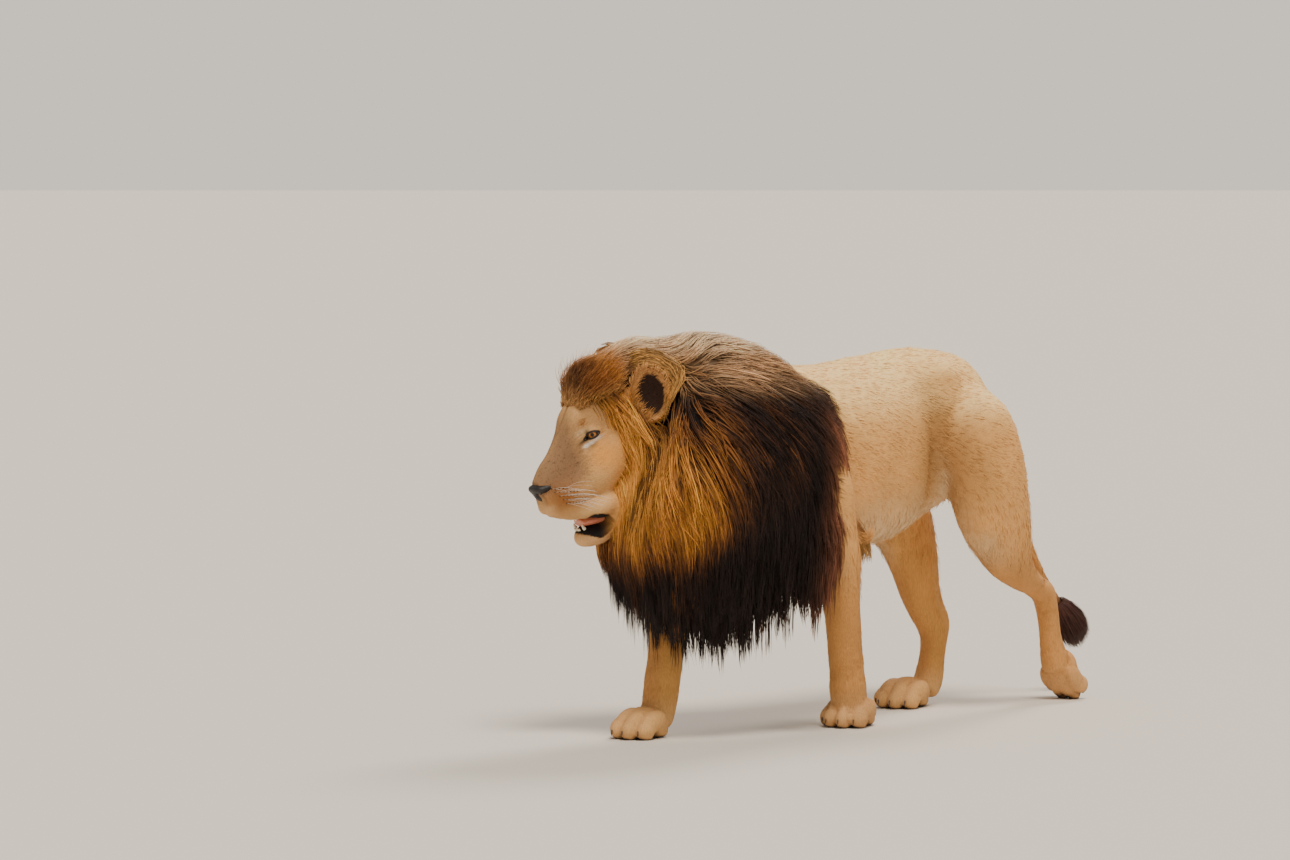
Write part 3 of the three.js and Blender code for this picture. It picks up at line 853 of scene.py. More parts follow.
def body_colour(points, normals):
    """The coat's colour on the trunk, legs and tail, and on the soles, with a painted highlight on the top of
    the back and painted shade over the flank and thigh.
    """
    x, y, z = in_tables(points).T
    ahead, across, upward = normals.T
    on_side = ramp(np.abs(y), 60, 140)
    inner = ramp(-np.sign(y) * across, 0.2, 0.8) * ramp(-z, -560, -430)
    lifted_sole = ramp(-x, 770, 800) * ramp(-z, -170, -60) * ramp(-ahead - 0.3 * upward, 0.2, 0.6)
    return layered(
        np.tile(TAN, (len(points), 1)),
        # painted highlight on the upward-facing top of the back
        (BACK_PAINTED_HIGHLIGHT, 1.2 * ramp(upward, 0.0, 0.7) * ramp(z, 700, 850)),
        # painted shade behind the fold of the flank and over the thigh
        (SHADE, 0.48 * near_spot((x, z), (-160, 715), (80, 190)) * on_side),
        (SHADE, 0.45 * near_spot((x, z), (-230, 620), (110, 150)) * on_side),
        (PALE, 0.8 * ramp(-upward, 0.1, 0.8) * ramp(z, 330, 430)),
        (LEG, ramp(-z, -520, -300)),
        (INNER_LEG, 0.7 * inner),
        (PALE, 0.2 * ramp(-z, -120, -40)),
        (PAD, ramp(-upward, 0.5, 0.9) * ramp(-z, -26, -8)),
        (PAD, lifted_sole),
        (TAIL_DARK, ramp(-x, 830, 880) * ramp(z, 180, 220) * ramp(-z, -300, -270)),
    )


def face_colour(points):
    """The coat's colour on the face, with the dark rims of the eyes and lips, painted shade in the groove of
    the forehead and over the inner corner of each eye, and painted shade between the jaws.
    """
    forward, left, up = in_head(points).T
    side = np.abs(left)
    profile, front, all_ways = (forward, up), (side, up), (forward, side, up)
    nose = ramp(forward, 10, 70) * ramp(up, -124, -84) * ramp(62 - side, -14, 10)
    speck = mottle(points, 0.009, 8) * mottle(points, 0.005, 9)
    colour = layered(
        np.tile(FACE_TAN, (len(points), 1)),
        (BRIDGE, 0.8 * nose),
        (FACE_TAN, 0.5 * near_spot(front, (0, 0), (16, 60)) * ramp(forward, 20, 60)),
        (CHEEK, 0.9 * near_spot(profile, (0, -62), (44, 46)) * ramp(side, 40, 70)),
        (SAND, 0.6 * near_spot(profile, (36, -136), (40, 44)) * ramp(side, 30, 50)),
        (OCHRE, 0.95 * near_spot(profile, (132, -116), (54, 34)) * ramp(side, 16, 30)),
        (MUZZLE_WHITE, 0.7 * ramp(-up, 112, 130) * ramp(forward, 152, 176)),
        (SAND, 0.5 * near_spot(profile, (100, -176), (44, 14))),
        (MUZZLE_WHITE, 0.85 * ramp(-up, 214, 250) * ramp(forward, 30, 80)),
        (OCHRE, 0.9 * near_spot(all_ways, (12, 50, 33), (8, 18, 11))),
        (PALE, 0.6 * near_spot(all_ways, (20, 52, 12), (16, 24, 8))),
        # painted shade in the groove of the forehead
        (SHADE, 0.45 * near_spot(front, (0, 62), (5, 34)) * ramp(forward, -50, -20)),
        (DARK_SKIN_AND_SHADE, 0.55 * ramp(speck, 0.25, 0.8) * nose),
    )
    for _, sign in SIDES:
        x, y, out = at_eye(points, sign)
        near = (np.hypot(x, y) < 60) & (out > -20) & (out < 50)
        away = np.full(len(points), 99.0)
        away[near] = outside_lids(x[near], y[near])
        under = bump(y + 15.5 + 0.22 * (x - 4), 4.8) * ramp(x, -19, -12) * ramp(42 - x, 0, 12)
        tear = bump(y + 6 + 0.2 * (x - 20), 5.0) * ramp(x, 14, 22) * ramp(54 - x, 0, 22)
        colour = layered(
            colour,
            (WHITE, 1.1 * under * near),
            # painted shade under the brow, over the inner corner of the eye
            (DARK_SKIN_AND_SHADE, 0.7 * near * near_spot((x, y), (12, 12), (9, 6))),
            (DARK_SKIN_AND_SHADE, 0.9 * tear * near),
            (DARK_SKIN_AND_SHADE, ramp(4.6 - away, 0, 2.4)),
        )
    # black lips, and painted shade inside the open mouth
    return mixed(colour, DARK_SKIN_AND_SHADE, lips_and_mouth_shade(forward, up))


# the black lips and the painted shade inside the open mouth: forward and up in the head's frame
MOUTH = [(130, -199), (104, -191), (78, -187), (44, -205), (36, -234), (72, -256), (100, -238), (130, -216)]


def lips_and_mouth_shade(forward, up):
    """1 on the black lips and, as painted shade of the open mouth, between the jaws, and 0 away from them."""
    near = (forward > 20) & (forward < 160) & (up < -170) & (up > -275)
    share = np.zeros(len(forward))
    share[near] = ramp(-outside(closed_ring(MOUTH, 80), np.column_stack([forward, up])[near]), -3.5, 0.5)
    return share


def ear_colour(colour, points):
    """A pale rim and back, and a dark hollow."""
    for _, sign in SIDES:
        local = (in_head(points) - sided(EAR_AT, sign)) @ ear_turned(sign).T / EAR_RADII
        out = np.hypot(local[:, 1], local[:, 2])
        near = ramp(1.35 - np.linalg.norm(local, axis=1), 0, 0.2)
        hollow = near * ramp(0.84 - out, 0, 0.16) * ramp(local[:, 0], -0.97, -0.93)
        colour = layered(colour, (EAR_RIM, near), (EAR_INSIDE, hollow))
    return colour


def on_face(x, z):
    """1 on the head and 0 behind it, from places of the tables."""
    return ramp(x, 640, 680) * ramp(z, 430, 450)


def coat_colour(points, normals):
    """The colour of the short coat, and of the skin under it, at each point, with painted highlight and shade
    laid in.
    """
    x, _, z = in_tables(points).T
    forward, left, up = in_head(points).T
    # painted shade with the mane's dark brown on the skin under the mane
    colour = mixed(body_colour(points, normals), UNDER_MANE_SHADE, under_mane(x, z))
    face = layered(
        face_colour(points),
        (mane_colour(points, normals, 0 * x), 0.9 * ramp(mane_edge(up) - forward, -30, 40)),
        # painted shade with the mane's dark brown behind the head, under the mane
        (UNDER_MANE_SHADE, ramp(-forward, 120, 170) * ramp(150 - np.abs(left), 50, 70)),
    )
    colour = colour + (ear_colour(face, points) - colour) * on_face(x, z)[:, None]
    return colour * (1 + 0.05 * mottle(points, 0.09, 3) + 0.04 * mottle(points, 0.3, 4))[:, None]


def mane_edge(up):
    """How far forward the long hair begins on the head at each height."""
    heights = [-290, -250, -219, -150, -83, 15, 42, 96, 131]
    return np.interp(up, heights, [56, 50, 34, 0, -38, -70, -76, -30, -10])


def under_mane(x, z):
    """1 where long hair hides the trunk, and 0 behind it. Along the spine the hair ends further forward."""
    edge = rear_of_mane(z) + 150 * ramp(z, 862, 896)
    return ramp(x - edge, 0, 50) * ramp(z, 500, 560)


def rear_of_mane(z):
    """How far forward the mane begins on the trunk at each height."""
    return np.interp(z, [480, 560, 700, 780, 860, 920], [372, 350, 326, 300, 262, 215])


def mane_colour(points, normals, shift):
    """The mane's colour by its place, from gold at the face to near black at the shoulder and chest, with a
    painted highlight along its top and ridge.
    """
    x, _, z = in_tables(points).T
    forward, left, up = in_head(points).T
    all_ways = (forward, np.abs(left), up)
    low = z + 420 * shift + 26 * mottle(points, 0.16, 12)
    dark = 0.95 * ramp(-forward, 0, 350) + 0.3 * ramp(-up, 300, 440) + 0.8 * ramp(-low, -560, -400)
    dark -= 0.16 * near_spot((forward, up), (-250, -170), (90, 110))
    dark += 0.12 * mottle(points * (1, 1, 0.35), 0.12, 13)
    dark += 0.7 * near_spot(all_ways, (-200, 140, -50), (26, 50, 70))
    dark = np.clip(dark + shift, 0, 1) * (len(MANE_TONES) - 1)
    step = np.minimum(dark.astype(int), len(MANE_TONES) - 2)
    tones = np.array(MANE_TONES)
    # painted highlight where the top of the mane faces up
    top = ramp(z, 845, 950) * ramp(-forward, 90, 190) * ramp(normals[:, 2], -0.1, 0.4)
    rear = ramp(-x, -450, -345) * ramp(-z, -880, -740) * (0.8 + 0.3 * mottle(points, 0.05, 17))
    return layered(
        tones[step] + (tones[step + 1] - tones[step]) * (dark - step)[:, None],
        (CROWN, ramp(up, 78, 105) * ramp(forward, -150, -70)),
        (CROWN_MIDDLE, near_spot((forward, left, up), (-46, 10, 130), (44, 60, 44))),
        (MANE_TOP_HIGHLIGHT, top * (0.8 + 1.2 * shift)),
        # painted highlight along the top ridge of the mane
        (RIDGE_HIGHLIGHT, 0.85 * ramp(z, 950, 1010) * ramp(-forward, 120, 220)),
        (GOLD, 0.9 * near_spot(all_ways, (-215, 132, 70), (52, 44, 46))),
        (RED_EDGE, 0.95 * rear),
    )


# ---------- hairs and tufts: thin closed three-sided strands ----------
HAIR_RINGS = 6
ALONG_HAIR = np.linspace(0, 1, HAIR_RINGS)


def rows_of(*columns):
    """Rows of three from columns, each of them a number or one value for each row."""
    return np.column_stack(np.broadcast_arrays(*columns))


def bowed(start, bend, end, t):
    """Curves from start to end, drawn towards bend on their way."""
    return start[:, None] * (1 - t) ** 2 + bend[:, None] * 2 * t * (1 - t) + end[:, None] * t**2


def at_each_ring(ways):
    """One way for each hair, repeated for all its rings."""
    return np.repeat(ways[:, None], HAIR_RINGS, axis=1)


def along_surface(ways, normals):
    """Ways laid flat on a surface."""
    return unit(ways - normals * (ways * normals).sum(axis=1, keepdims=True))


def height_over(points, near, out):
    """How far points stand out from the nearest places of a surface."""
    return ((points - near) * out).sum(axis=1)


def patch_of(rings):
    """The places of a strand's points on its small patch of the bake map, for its three sides and its tip."""
    size = 0.003
    along = np.repeat(np.arange(rings - 1) / (rings - 1), 3) - 0.5
    across = np.tile([-0.5, 0.5, 0.0], rings - 1)
    return np.vstack([np.column_stack([across, along]), [0.0, 0.5]]) * size


def strand_faces(rings):
    """The triangles of one strand: its closed root, its sides and its tip."""
    faces = [(2, 1, 0)]
    for ring in range(rings - 2):
        for side in range(3):
            a, b = 3 * ring + side, 3 * ring + (side + 1) % 3
            faces += [(a, b, b + 3), (a, b + 3, a + 3)]
    last, tip = 3 * (rings - 2), 3 * (rings - 1)
    faces += [(last + side, last + (side + 1) % 3, tip) for side in range(3)]
    return np.array(faces)


def strand_piece(name, paths, over, half_width, thin, colours, roots_uv):
    """One mesh of strands. paths: strands x rings x 3; over: the way out of the coat at each of those;
    half_width: strands x rings; thin: the thickness as a share of the width; colours: strands x rings x 3."""
    count, rings = paths.shape[:2]
    along = unit(np.gradient(paths, axis=1))
    side = unit(np.cross(along, over))
    out = np.cross(side, along)
    width = half_width[..., None]
    sides = [paths + side * width, paths - side * width, paths + out * width * thin * 2]
    ring_points = np.stack(sides, axis=2)[:, :-1].reshape(count, -1, 3)
    points = np.concatenate([ring_points, paths[:, -1:]], axis=1)
    tints = np.concatenate([np.repeat(colours[:, :-1], 3, axis=1), colours[:, -1:]], axis=1)
    per = points.shape[1]
    pattern = strand_faces(rings)
    faces = (pattern[None] + np.arange(count)[:, None, None] * per).reshape(-1, 3)
    mesh = bpy.data.meshes.new(name)
    mesh.vertices.add(count * per)
    mesh.vertices.foreach_set("co", points.ravel())
    mesh.loops.add(faces.size)
    mesh.loops.foreach_set("vertex_index", faces.ravel())
    mesh.polygons.add(len(faces))
    mesh.polygons.foreach_set("loop_start", np.arange(0, faces.size, 3))
    mesh.update(calc_edges=True)
    paint_points(mesh, tints.reshape(-1, 3))
    places = (roots_uv[:, None] + patch_of(rings)[None]).reshape(-1, 2)
    mesh.uv_layers.new(name="OFBake").data.foreach_set("uv", places[faces.ravel()].ravel())
    return add_piece(name, mesh)


def paint_points(mesh, colours):
    """Gives a mesh its tint, a colour for each point."""
    tint = mesh.color_attributes.new(name="tint", type="FLOAT_COLOR", domain="POINT")
    solid = np.ones((len(colours), 4))
    solid[:, :3] = np.clip(colours, 0, 1)
    tint.data.foreach_set("color", solid.ravel())


class Surface:
    """A mesh as a surface to root and lay hair on, with the places of its unwrap."""

    def __init__(self, mesh):
        mesh.calc_loop_triangles()
        tris = np.empty(len(mesh.loop_triangles) * 3, int)
        mesh.loop_triangles.foreach_get("vertices", tris)
        self.tris = tris.reshape(-1, 3)
        loops = np.empty(len(self.tris) * 3, int)
        mesh.loop_triangles.foreach_get("loops", loops)
        self.co = points_of(mesh)
        self.normals = normals_of(mesh)
        a, b, c = np.moveaxis(self.co[self.tris], 1, 0)
        self.areas = np.linalg.norm(np.cross(b - a, c - a), axis=1) / 2
        self.tree = BVHTree.FromPolygons([tuple(c) for c in self.co], self.tris.tolist())
        self.uv = None
        if "OFBake" in mesh.uv_layers:
            uv = np.empty(len(mesh.loops) * 2)
            mesh.uv_layers["OFBake"].data.foreach_get("uv", uv)
            self.uv = uv.reshape(-1, 2)[loops.reshape(-1, 3)]

    def middles(self):
        """The middle of each triangle."""
        return self.co[self.tris].mean(axis=1)

    def scatter(self, count, rng, density=1.0):
        """Random places on it: points, normals and their places on the unwrap."""
        weight = self.areas * density
        chosen = rng.choice(len(self.tris), count, p=weight / weight.sum())
        a, b = np.sqrt(rng.random(count)), rng.random(count)
        share = np.column_stack([1 - a, a * (1 - b), a * b])[:, :, None]
        tri = self.tris[chosen]
        uv = None if self.uv is None else (self.uv[chosen] * share).sum(axis=1)
        return (self.co[tri] * share).sum(axis=1), unit((self.normals[tri] * share).sum(axis=1)), uv

    def nearest(self, points):
        """The nearest place on it to each point, the way out there, and its triangle."""
        found = [self.tree.find_nearest(point) for point in points.tolist()]
        index = np.array([f[2] for f in found])
        return np.array([f[0] for f in found]), unit(self.normals[self.tris[index]].sum(axis=1)), index

    def bake_place(self, points):
        """The places on the unwrap that lie nearest to points."""
        _, _, index = self.nearest(points)
        return self.uv[index].mean(axis=1)


# Where the forms of the head are blended most: a middle and a reach in the head's frame, for both sides.
LIP_EDGE = 0.2  # the share of black from which the lips keep their shape
SOFT_SPOTS = [
    ((46, 72, -158), (44, 40, 34)),  # from the lip to the cheek
    ((112, 62, -146), (44, 30, 24)),  # along the upper lip
    ((160, 26, -132), (16, 20, 14)),  # front of the lip
    ((0, 96, -60), (50, 40, 70)),  # cheek
]


def soften(co, edges, spots, times):
    """Evens out the surface near some spots of the head."""
    forward, left, up = in_head(co).T
    share = np.zeros(len(co))
    for middle, reach in spots:
        share = np.maximum(share, near_spot((forward, np.abs(left), up), middle, reach))
    share[lips_and_mouth_shade(forward, up) > LIP_EDGE] = 0
    for _ in range(times):
        co = co + to_neighbours(co, edges) * 0.7 * share[:, None]
    return co


def make_skin():
    """The skin: one surface with its muscles, face and lids, unwrapped and tinted."""
    mesh = mesh_of(join_surfaces(), "skin")
    set_points(mesh, bulge(points_of(mesh), normals_of(mesh), MUSCLES))
    face = both_sides(FACE) + FACE_MIDDLE
    set_points(mesh, bulge(points_of(mesh), normals_of(mesh), face, on_head))
    set_points(mesh, relax(points_of(mesh), edges_of(mesh), 2, 0.4, 0.3))
    set_points(mesh, soften(points_of(mesh), edges_of(mesh), SOFT_SPOTS, 26))
    bm = bmesh.new()
    bm.from_mesh(mesh)
    for _, sign in SIDES:
        refine_near(bm, Vector(on_head(sided(EYE_AT, sign))), 0.034, 1)
    bmesh.ops.triangulate(bm, faces=[f for f in bm.faces if len(f.verts) > 4])
    bm.to_mesh(mesh)
    bm.free()
    set_points(mesh, over_floor(open_lids(points_of(mesh))))
    skin = add_piece("skin", mesh)
    unwrap(skin)
    paint_points(mesh, coat_colour(points_of(mesh), normals_of(mesh)))
    print("skin", len(mesh.polygons))
    return skin


# ---------- the mane ----------
MANE_SPACING = 0.014  # the size of the faces of the mane's outline
MANE_DEPTH = 34  # mm from its outline in to the core that closes it, tinted dark as painted shade
CAPE = [
    (165, 0, 850, 105, 85, 110),
    (240, 0, 790, 172, 180, 235),
    (340, 0, 730, 240, 265, 370),
    (440, 0, 712, 256, 300, 415),
    (560, -20, 705, 262, 330, 430),
    (670, -60, 708, 252, 330, 405),
    (750, -112, 735, 212, 285, 350),
]
HEAD_BALLS = [  # of the crown, then of the ruff: the middle and the radii in the head's frame
    ((-75, 0, 88), (92, 128, 92)),
    ((-190, 0, 65), (120, 125, 110)),
    ((-285, 0, 36), (130, 145, 92)),
    ((-118, 0, -60), (88, 190, 185)),
    ((-58, 0, -205), (78, 122, 120)),
]
BODY_BALLS = [  # of the shoulders, then of the chest, in the tables' frame
    ((365, 160, 490), (125, 90, 155)),
    ((470, -165, 490), (125, 90, 155)),
    ((686, -122, 490), (105, 150, 150)),
]
LOCKS = 6500
HAIRS_IN_LOCK = 6
HAIRLINE_LOCKS = 1300
COMB_STEPS = 14
MOST_TRIANGLES = 190000  # in one piece of the mane
EAR_HOLLOW = (-128, 124, 8)  # where the mane leaves room in front of the ear
EAR_OPEN = (0.52, 0.85, 0.1)  # the way that the hollow of an ear opens
EAR_CLEAR = (42, 66)  # mm kept free of long hair in front of an ear: across and up


def mane_form(less):
    """The outline of the mane, or the same drawn in by some millimetres."""
    bm = bmesh.new()
    add_loft(bm, CAPE, less=less)
    for at, radii in HEAD_BALLS:
        add_ball(bm, at, np.array(radii) - less, place=on_head)
    for at, radii in BODY_BALLS:
        add_ball(bm, at, np.array(radii) - less)
    form = one_surface(bm, MANE_SPACING)
    relax_bmesh(form, 30, 0.5, 0.2)
    mesh = mesh_of(form, "mane_core")
    at_ears = both_sides([(EAR_HOLLOW, (62, 60, 74), (0, 0, 0), -26 - 1.1 * less)])
    set_points(mesh, bulge(points_of(mesh), normals_of(mesh), at_ears, on_head))
    return mesh


def fall_of(z):
    """How steeply the mane falls at each height, in degrees under level."""
    return np.interp(z, [300, 420, 520, 660, 780, 900, 1020], [90, 87, 80, 67, 53, 34, 13])


def lie_of_mane(points):
    """The way that the mane's hair runs: out from the face, then back and down."""
    x, _, z = in_tables(points).T
    forward, left, up = in_head(points).T
    fall = np.radians(fall_of(z))
    way = unit(rows_of(-0.94, 0.36 * ramp(x, 400, 700), 0.0)) * np.cos(fall)[:, None]
    way[:, 2] -= np.sin(fall)
    out = unit(rows_of(-0.35, left, np.maximum(up + 40, -90))) @ HEAD_TURN.T
    near_face = ramp(forward, -130, -10) * (0.12 + 0.9 * ramp(up, 60, 120))
    return unit(way + out * near_face[:, None])


def comb(roots, lengths, outline, depth, twist):
    """Paths from their roots inside the mane's outline that rise to it and hang free below it."""
    p, paths, ways_out, heights = roots.copy(), [], [], []
    near, normal, _ = outline.nearest(p)
    step = (lengths / (COMB_STEPS - 1))[:, None]
    for index in range(COMB_STEPS):
        paths.append(p)
        ways_out.append(normal)
        away = np.linalg.norm(p - near, axis=1)
        heights.append(np.where(height_over(p, near, normal) > 0, away, -away))
        share = (index + 1) / (COMB_STEPS - 1)
        way = lie_of_mane(p)
        hanging = ramp(-normal[:, 2], 0.15, 0.6)[:, None]
        flat = along_surface(way, normal)
        flat = flat * np.cos(twist) + np.cross(normal, flat) * np.sin(twist)
        way = unit(flat * (1 - hanging) + (way + np.array((0, 0, -1.0))) * hanging)
        p = p + way * step
        near, normal, _ = outline.nearest(p)
        wanted = -depth * (1 - share) ** 1.3
        p = p + normal * (wanted - height_over(p, near, normal))[:, None] * 0.6 * (1 - hanging)
    return np.stack(paths, axis=1), unit(np.stack(ways_out, axis=1)), np.stack(heights, axis=1)


def cut_to(paths, ways_out, heights, allowed):
    """Shortens the paths that run further outside the outline than each is allowed."""
    steps = paths.shape[1]
    beyond = heights > allowed[:, None]
    first = np.where(beyond.any(axis=1), beyond.argmax(axis=1), steps - 1)
    share = np.maximum(first / (steps - 1), 0.3)
    t = np.linspace(0, 1, steps)[None] * share[:, None]
    return sampled(paths, t), unit(sampled(ways_out, t))


def sampled(rows, t):
    """Each row of places read at its own shares of its length, from 0 to 1."""
    last = rows.shape[1] - 1
    s = np.clip(t, 0, 1) * last
    i = np.minimum(s.astype(int), last - 1)
    f = (s - i)[..., None]
    pick = np.arange(len(rows))[:, None]
    return rows[pick, i] * (1 - f) + rows[pick, i + 1] * f


def grow_locks(guides, ways_out, hairs, rng, spread, tip_spread, wave):
    """The hairs of each lock: spread at its root and drawn together at its tip."""
    locks = len(guides)
    guide = np.repeat(guides, hairs, axis=0)
    out = np.repeat(ways_out, hairs, axis=0)
    count = len(guide)
    t = ALONG_HAIR[None] * rng.uniform(0.72, 1.0, (count, 1))
    path, out = sampled(guide, t), unit(sampled(out, t))
    along = unit(np.gradient(path, axis=1))
    side = unit(np.cross(along, out))
    across = rng.uniform(-1, 1, (count, 1)) * (spread + (tip_spread - spread) * t**1.3)
    above = rng.uniform(-1, 0.6, (count, 1)) * (0.6 * spread + (tip_spread - 0.6 * spread) * t)
    phase = np.repeat(rng.uniform(0, 2 * math.pi, (locks, 1)), hairs, axis=0)
    phase = phase + rng.uniform(-0.5, 0.5, (count, 1))
    sway = wave * np.sin(phase + t * rng.uniform(3, 6, (count, 1))) * t
    return path + side * (across + sway)[..., None] + out * above[..., None], out, t


def hairline(skin_surface, core_surface, rng):
    """Roots on the skin of the head, along the edge of the mane."""
    forward, left, up = in_head(skin_surface.middles()).T
    edge = mane_edge(up)
    band = (forward < edge) & (forward > edge - 90) & (np.abs(left) > 14) & (up > -300) & (up < 120)
    roots, out, _ = skin_surface.scatter(HAIRLINE_LOCKS, rng, np.where(band, 1.0, 0.0))
    near, way, _ = core_surface.nearest(roots)
    seen = height_over(roots, near, way) > -0.012
    return roots[seen], out[seen]


def ear_clear(paths):
    """Which paths leave the hollows of the ears open to the side and front."""
    free = np.ones(len(paths), bool)
    for _, sign in SIDES:
        look = unit(sided(EAR_OPEN, sign))
        local = in_head(paths.reshape(-1, 3)) - sided(EAR_AT, sign)
        along = local @ look
        flat = local - along[:, None] * look
        high = flat[:, 2]
        wide = np.linalg.norm(flat[:, :2], axis=1)
        hidden = ((high / EAR_CLEAR[1]) ** 2 + (wide / EAR_CLEAR[0]) ** 2 < 1) & (along > -44) & (along < 110)
        free &= ~hidden.reshape(paths.shape[:2]).any(axis=1)
    return free


def clear_of_brow(paths):
    """Which paths stay behind the forelock."""
    forward, _, up = np.moveaxis(in_head(paths.reshape(-1, 3)).reshape(paths.shape), 2, 0)
    return ~((forward > -34) & (up > 40)).any(axis=1)


EAR_HAIRS = 700


def ear_strands(sign, rng):
    """Paths of the short hairs round the rim of one ear, and of those from its front edge over the hollow."""
    each = (EAR_HAIRS, 1)
    angle = rng.uniform(0, 2 * math.pi, EAR_HAIRS)
    inner = rng.random(EAR_HAIRS) < 0.26
    front_rim = rng.uniform(0.62, 1.42, EAR_HAIRS) * math.pi
    angle = np.where(inner, front_rim, angle)
    ring = rows_of(0.0, np.cos(angle), np.sin(angle))
    start = ring * rng.uniform(0.88, 0.99, each) + (0.04, 0, 0)
    over = rows_of(0.3, rng.uniform(0.25, 0.75, EAR_HAIRS), rng.uniform(0.1, 0.5, EAR_HAIRS))
    rim = ring * rng.uniform(0.04, 0.2, each) + (0.12, 0.1, 0.16)
    end = start + np.where(inner[:, None], over, rim) + rng.normal(0, 0.035, ring.shape)
    bend = start + (end - start) * 0.5 + (0.14, 0, 0)
    t = ALONG_HAIR[None, :, None]
    paths = sided(bowed(start, bend, end, t).reshape(-1, 3), sign) * EAR_RADII @ ear_turned(sign)
    high = ramp(ring[:, 2], -0.3, 0.7)[:, None]
    tint = CHEEK + (EAR_RIM * 1.3 - CHEEK) * high
    tint = tint * np.where(inner, 0.8, 1.0)[:, None] * rng.uniform(0.75, 1.2, each)
    place = on_head(paths + sided(EAR_AT, sign)).reshape(EAR_HAIRS, HAIR_RINGS, 3)
    return place, tint[:, None] * (0.8 + 0.4 * t)


def make_ear_hair(skin_surface):
    """Soft hair round the rim of each ear, and a little across its hollow."""
    rng = np.random.default_rng(SEED + 6)
    ears = [ear_strands(sign, rng) for _, sign in SIDES]
    paths, tints = (np.concatenate(both) for both in zip(*ears))
    over = np.tile(unit(HEAD_TURN @ np.array((0.5, 0.1, 1.0))), (len(paths), HAIR_RINGS, 1))
    widths = tapered(len(paths), 0.0005, rng)
    return strand_piece("ear_hair", paths, over, widths, 0.5, tints, skin_surface.bake_place(paths[:, 0]))


EAR_ARC = [(-150, 120, 138), (-184, 128, 138), (-226, 134, 96)]
EAR_ARC += [(-250, 136, 8), (-228, 134, -64), (-196, 128, -130)]
ARC_LOCKS = 70


def ear_arcs(outline, rng):
    """Long locks that curve round the back of each ear and fall behind it."""
    arc = curve(EAR_ARC, np.linspace(0, 1, 40))
    each = (ARC_LOCKS, 1)
    all_paths, all_out = [], []
    for _, sign in SIDES:
        first = rng.uniform(0, 0.35, each)
        t = first + (1 - first) * np.linspace(0, 1, COMB_STEPS)[None] * rng.uniform(0.5, 1, each)
        paths = sampled(np.tile(arc, (ARC_LOCKS, 1, 1)), t) * (1, sign, 1)
        apart = rng.normal(0, 1, (ARC_LOCKS, 1, 3)) * (9, 4, 7) * (0.6 + 0.9 * t[..., None])
        paths = on_head((paths + apart).reshape(-1, 3))
        near, out, _ = outline.nearest(paths)
        lift = np.maximum(height_over(paths, near, out), 0.001 + 0.006 * rng.random(len(paths)))
        paths = near + out * np.minimum(lift, 0.016)[:, None]
        all_paths.append(paths.reshape(ARC_LOCKS, COMB_STEPS, 3))
        all_out.append(out.reshape(ARC_LOCKS, COMB_STEPS, 3))
    return np.concatenate(all_paths), np.concatenate(all_out)


def tapered(count, width, rng):
    """Half widths along hairs, from a thin root to a fine tip, with a different breadth for each hair."""
    shape = np.interp(ALONG_HAIR, [0, 0.15, 0.5, 0.8, 1], [0.7, 1, 1, 0.7, 0.15])
    return width * shape[None] * rng.uniform(0.7, 1.3, (count, 1))


def make_mane_core():
    """The form under the mane's hair, which closes it, darkened to 0.16 of the mane's colour as painted shade
    between the hairs.
    """
    mesh = mane_form(MANE_DEPTH)
    core = add_piece("mane_core", mesh)
    unwrap(core)
    normals = normals_of(mesh)
    # painted shade: the core is tinted at 0.16 of the mane's colour
    paint_points(mesh, 0.16 * mane_colour(points_of(mesh), normals, 0.15 + 0 * normals[:, 0]))
    return core


def mane_roots(outline, skin_surface, core_surface, rng):
    """Where the locks grow: places and ways out, how deep each starts, and which are of the hairline."""
    forward = in_head(outline.middles())[:, 0]
    roots, out, _ = outline.scatter(LOCKS, rng, 1 + 0.9 * ramp(forward, -160, -110))
    near, way, _ = skin_surface.nearest(roots)
    x, _, z = in_tables(roots).T
    shown = (height_over(roots, near, way) > 0.004) & (x > rear_of_mane(z) - 30)
    roots, out = roots[shown], out[shown]
    depth = rng.uniform(0.014, 0.040, len(roots))
    edge_roots, edge_out = hairline(skin_surface, core_surface, rng)
    roots, out = np.vstack([roots, edge_roots]), np.vstack([out, edge_out])
    depth = np.concatenate([depth, 0 * edge_out[:, 0]])
    return roots, out, depth, np.arange(len(roots)) >= len(roots) - len(edge_roots)


def mane_guides(outline, skin_surface, core_surface, rng):
    """The line of each lock from root to tip, the ways out along it, and which are of the hairline."""
    roots, out, depth, at_edge = mane_roots(outline, skin_surface, core_surface, rng)
    z = in_tables(roots)[:, 2]
    forward, _, up = in_head(roots).T
    lengths = rng.uniform(0.15, 0.30, len(roots)) * np.interp(z, [300, 500, 800, 1000], [0.75, 1.1, 1.0, 0.7])
    lengths *= 1 - 0.5 * ramp(forward, -90, 0) * ramp(up, 60, 120)
    lengths = np.where(at_edge, rng.uniform(0.07, 0.17, len(roots)), lengths)
    twist = rng.normal(0, 0.13, (len(roots), 1))
    paths, ways_out, heights = comb(roots - out * depth[:, None], lengths, outline, depth, twist)
    low_edge = ramp(-z, -420, -330)
    allowed = (0.004 + 0.08 * rng.random(len(roots)) ** 3) * (1 + 0.7 * low_edge)
    x, _, z = in_tables(paths.reshape(-1, 3)).T
    behind = (rear_of_mane(z) - x).reshape(heights.shape)
    past = behind > rng.uniform(14, 62, (len(roots), 1))
    paths, ways_out = cut_to(paths, ways_out, np.where(past, 1.0, heights), allowed)
    free = ear_clear(paths) & clear_of_brow(paths)
    return paths[free], ways_out[free], at_edge[free]


